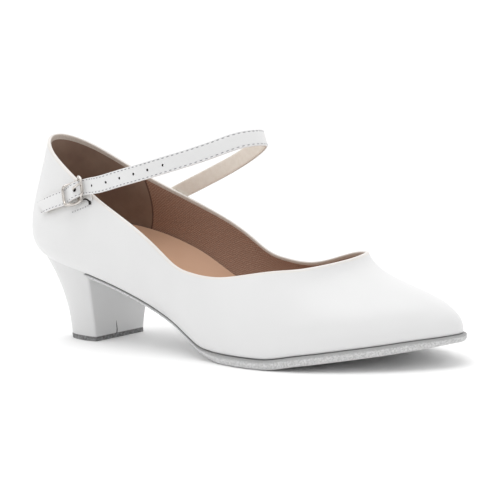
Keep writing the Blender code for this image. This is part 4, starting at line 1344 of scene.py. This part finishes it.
    def prong_route(self) -> Array:
        """The prong's line: out of the strap's hole, over the strap and onto the frame's front end."""
        half, low = self.length / 2, self.over_bar
        rest = self.under_ends + self.thick / 2 + 3 * self.last.gap + 3 * self.wire
        return np.array(
            [
                self.foot + self.way * 1.6 + self.out * low,
                self.foot + self.way * 1.9 + self.out * (low + 1.5),
                self.foot + self.way * 0.5 * half + self.out * (rest - 0.2),
                self.foot + self.way * (half + self.wire) + self.out * rest,
            ]
        )

    def rod(self, name: str, line: Array, up: Array, radii: Array | float, sides: int, closed: bool = False) -> Piece:
        """One nickel wire of the buckle: a tube round a line, with one way up all along."""
        points, faces = tube(line, np.tile(up, (len(line), 1)), radii, sides, closed)
        return make_piece(name, points, faces, [self.looks.nickel])

    def buckle(self) -> tuple[Piece, Piece, Piece]:
        """The bowed frame, its bar and the prong.

        The frame's plan is a rounded oblong, cos and sin to the power 0.42, and it lifts from the bar to its two
        ends as the square of the way.

        Returns:
            Frame, bar and prong.
        """
        half = self.length / 2
        half_width = self.width / 2 + 2 * self.last.gap + self.wire
        end = self.under_ends + self.thick / 2 + 2 * self.last.gap + self.wire
        turn = np.linspace(0, 2 * math.pi, 160, endpoint=False)
        step = half * squared(np.cos(turn), 0.42)
        side = half_width * squared(np.sin(turn), 0.42)
        lift = self.bar_lift + (end - self.bar_lift) * np.minimum(1, (step / half / 0.8) ** 2)
        route = self.foot + step[:, None] * self.way + side[:, None] * self.across + lift[:, None] * self.out
        way = lengths(np.vstack([route, route[:1]]))
        route = read(way, np.vstack([route, route[:1]]), np.linspace(0, way[-1], 180, endpoint=False))
        route = softened(route, 4)
        frame_wire = self.rod("buckle_wire", route, self.out, self.wire, 16, closed=True)
        reach = half_width - self.wire * 0.3
        line = self.foot + np.linspace(-reach, reach, 24)[:, None] * self.across + self.out * self.bar_lift
        bar = self.rod("buckle_middle_bar", line, self.out, self.wire, 14)
        marks, way = self.prong_route(), np.linspace(0, 1, 60)
        knots = lengths(marks)
        line = smooth(knots, marks, np.linspace(0, knots[-1], len(way)))
        prong = self.rod("buckle_pin", line, self.across, self.prong * (1 - 0.35 * way**6), 14)
        return frame_wire, bar, prong

    def tab(self) -> Piece:
        """The tab: rolled into an eye round the bar, then flat on the quarter towards the front."""
        eye = self.wire + self.last.gap + self.tab_thick / 2
        turn = np.radians(np.linspace(-20, 270, 60))[:, None]
        spin = np.cos(turn) * self.way + np.sin(turn) * self.out
        line = [self.foot + self.out * self.bar_lift + spin * eye]
        thick = [spin]
        for share in np.linspace(0.2, 1, 8):
            place = self.foot + (self.way - self.across * self.tab_drop) * share * self.tab_length
            point, normal = self.last.side_point(Side.LATERAL, place[0], place[2])
            blend = min(1.0, share * 1.6)
            flat = place + self.out * (self.bar_lift - eye)
            laid = point + normal * (self.last.gap + self.tab_thick / 2)
            line.append((laid * blend + flat * (1 - blend))[None])
            thick.append(-normal[None])
        line, thick = np.vstack(line), unit(np.vstack(thick))
        knots = lengths(line)
        places = np.linspace(0, knots[-1], 120)
        line, thick = smooth(knots, line, places), unit(smooth(knots, thick, places))
        turn = np.linspace(0, 2 * math.pi, 24, endpoint=False)
        side = squared(np.cos(turn), 0.25) * self.tab_width / 2
        deep = squared(np.sin(turn), 0.5) * self.tab_thick / 2
        points = line[:, None] + side[None, :, None] * self.across + deep[None, :, None] * thick[:, None]
        faces = [grid_faces(len(line), len(side), False, True), end_caps(len(line), len(side))]
        return make_piece("buckle_tab_leather", points.reshape(-1, 3), faces, [self.looks.leather])

    def on_quarter(self, marks: Array) -> tuple[Array, Array]:
        """Points on the lateral quarter at places along the last and above the floor, and the way out at each."""
        found = [self.last.side_point(Side.LATERAL, x, z) for x, z in marks]
        return np.array([point for point, _ in found]), np.array([normal for _, normal in found])

    def tab_stitches(self) -> Piece:
        """The row of stitches that holds the tab behind the quarter's leather."""
        marks = np.stack([np.linspace(42.9, 53.9, 7), np.linspace(65.7, 68.7, 7)], axis=-1)
        places, normals = self.on_quarter(marks)
        places = places + normals * 0.34
        points, faces = stitches(places, np.gradient(places, axis=0), normals, (0.45, 0.26, 0.16))
        return make_piece("tab_stitches", points, faces, [self.looks.thread])

    def tab_slot(self) -> Piece:
        """The curved cut at the tab's end, below the strap's front: a dark tube half a millimetre up on the tab's
        edge, painted shade of the cut.
        """
        marks = np.array([(49.5, 71.6), (51.6, 72.0), (53.6, 71.7), (55.1, 70.7), (55.6, 69.4)])
        fine = smooth(lengths(marks), marks, np.linspace(0, lengths(marks)[-1], 12))
        places, normals = self.on_quarter(fine)
        radii = 0.25 + 0.42 * np.linspace(0, 1, 12) ** 0.8
        points, faces = tube(places + normals * 0.55, normals, radii, 12)
        return make_piece("tab_slot", points, faces, [self.looks.painted_shade_cut])


@dataclass
class Studio:
    """The pale floor, the soft light and the camera at the photo's angle."""

    azimuth: float = 41.9
    elevation: float = 5.64
    roll: float = -3.42
    distance: float = 0.6844
    focal: float = 1454.7
    frame_width: float = 500.0
    target: tuple[float, float, float] = (0.0974, 0.0094, 0.0447)
    sky: float = 0.75
    zenith: float = 0.45
    rear: float = 0.35

    def build(self) -> None:
        """Builds the floor, the lights and the camera."""
        self.floor()
        self.world()
        self.lamp("overhead_softbox", (0.15, -0.30, 1.45), (0.10, 0.0, 0.03), 1.2, 5.5)
        self.lamp("left_softbox", (-1.1, -0.5, 0.9), (0.08, 0.0, 0.05), 0.9, 0.3)
        self.lamp("front_softbox", (0.45, -1.1, 0.9), (0.10, 0.0, 0.03), 0.8, 0.5)
        self.camera()
        view = bpy.context.scene.view_settings
        view.view_transform, view.look, view.exposure, view.gamma = "Standard", "None", 0.0, 1.0

    def floor(self) -> None:
        """A wide white floor that the shoe stands on."""
        mesh = bpy.data.meshes.new("floor")
        mesh.from_pydata([(-30, -30, 0), (30, -30, 0), (30, 30, 0), (-30, 30, 0)], [], [(0, 1, 2, 3)])
        mesh.materials.append(Matt("white_paper_floor", "#FFFFFF", "#FEFEFE", 0.9, patch=40, depth=0.0).make())
        floor = bpy.data.objects.new("floor", mesh)
        bpy.context.scene.collection.objects.link(floor)

    def world(self) -> None:
        """A white surround, brighter overhead and behind the shoe, dimmer behind the camera."""
        world = bpy.data.worlds.new("surround")
        world.use_nodes = True
        ground = world.node_tree.nodes["Background"]
        ground.inputs["Color"].default_value = (1.0, 1.0, 1.0, 1.0)
        tree = world.node_tree
        where = add(tree, "TexCoord").outputs["Generated"]
        height = add(tree, "SeparateXYZ", {0: where}).outputs["Z"]
        a = math.radians(self.azimuth)
        behind = {0: where, 1: (-math.sin(a), math.cos(a), 0.0)}
        rear = add(tree, "VectorMath", behind, operation="DOT_PRODUCT").outputs["Value"]
        lit = add(tree, "Math", {0: height, 1: self.zenith, 2: self.sky}, operation="MULTIPLY_ADD").outputs[0]
        glow = add(tree, "Math", {0: rear, 1: self.rear, 2: lit}, operation="MULTIPLY_ADD")
        tree.links.new(glow.outputs[0], ground.inputs["Strength"])
        bpy.context.scene.world = world

    def lamp(self, name: str, place: tuple, aim: tuple, size: float, power: float) -> None:
        """A square soft light.

        Args:
            name: The light's name.
            place: Where it hangs.
            aim: What it points at.
            size: Its side in metres.
            power: Its power in watts.
        """
        data = bpy.data.lights.new(name, "AREA")
        data.size, data.energy = size, power
        lamp = bpy.data.objects.new(name, data)
        lamp.location = place
        lamp.rotation_euler = (Vector(aim) - Vector(place)).to_track_quat("-Z", "Y").to_euler()
        bpy.context.scene.collection.objects.link(lamp)

    def camera(self) -> None:
        """The camera: round the shoe by azimuth, up by elevation, then rolled, and level with the target."""
        a, e, r = (math.radians(x) for x in (self.azimuth, self.elevation, self.roll))
        back = Vector((math.sin(a) * math.cos(e), -math.cos(a) * math.cos(e), math.sin(e)))
        right = Vector((math.cos(a), math.sin(a), 0))
        up = back.cross(right)
        turned = math.cos(r) * right + math.sin(r) * up
        raised = -math.sin(r) * right + math.cos(r) * up
        data = bpy.data.cameras.new("camera")
        data.sensor_width = 36.0
        data.lens = self.focal * data.sensor_width / self.frame_width
        data.clip_start, data.clip_end = 0.01, 100.0
        camera = bpy.data.objects.new("camera", data)
        axes = Matrix((turned, raised, back)).transposed().to_4x4()
        camera.matrix_world = Matrix.Translation(Vector(self.target) + back * self.distance) @ axes
        bpy.context.scene.collection.objects.link(camera)
        bpy.context.scene.camera = camera


def main() -> None:
    """Builds the shoe and its studio."""
    logging.basicConfig(level=logging.INFO, format="%(message)s")
    Studio().build()
    last, looks = Last(), Finishes()
    for part in (Upper(last, looks), Sock(last, looks), Bottom(last, looks), Fastening(last, looks)):
        made = part.build()
        LOG.info("%s: %s", type(part).__name__, ", ".join(obj.name for obj in made))
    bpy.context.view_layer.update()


if __name__ == "__main__":
    main()
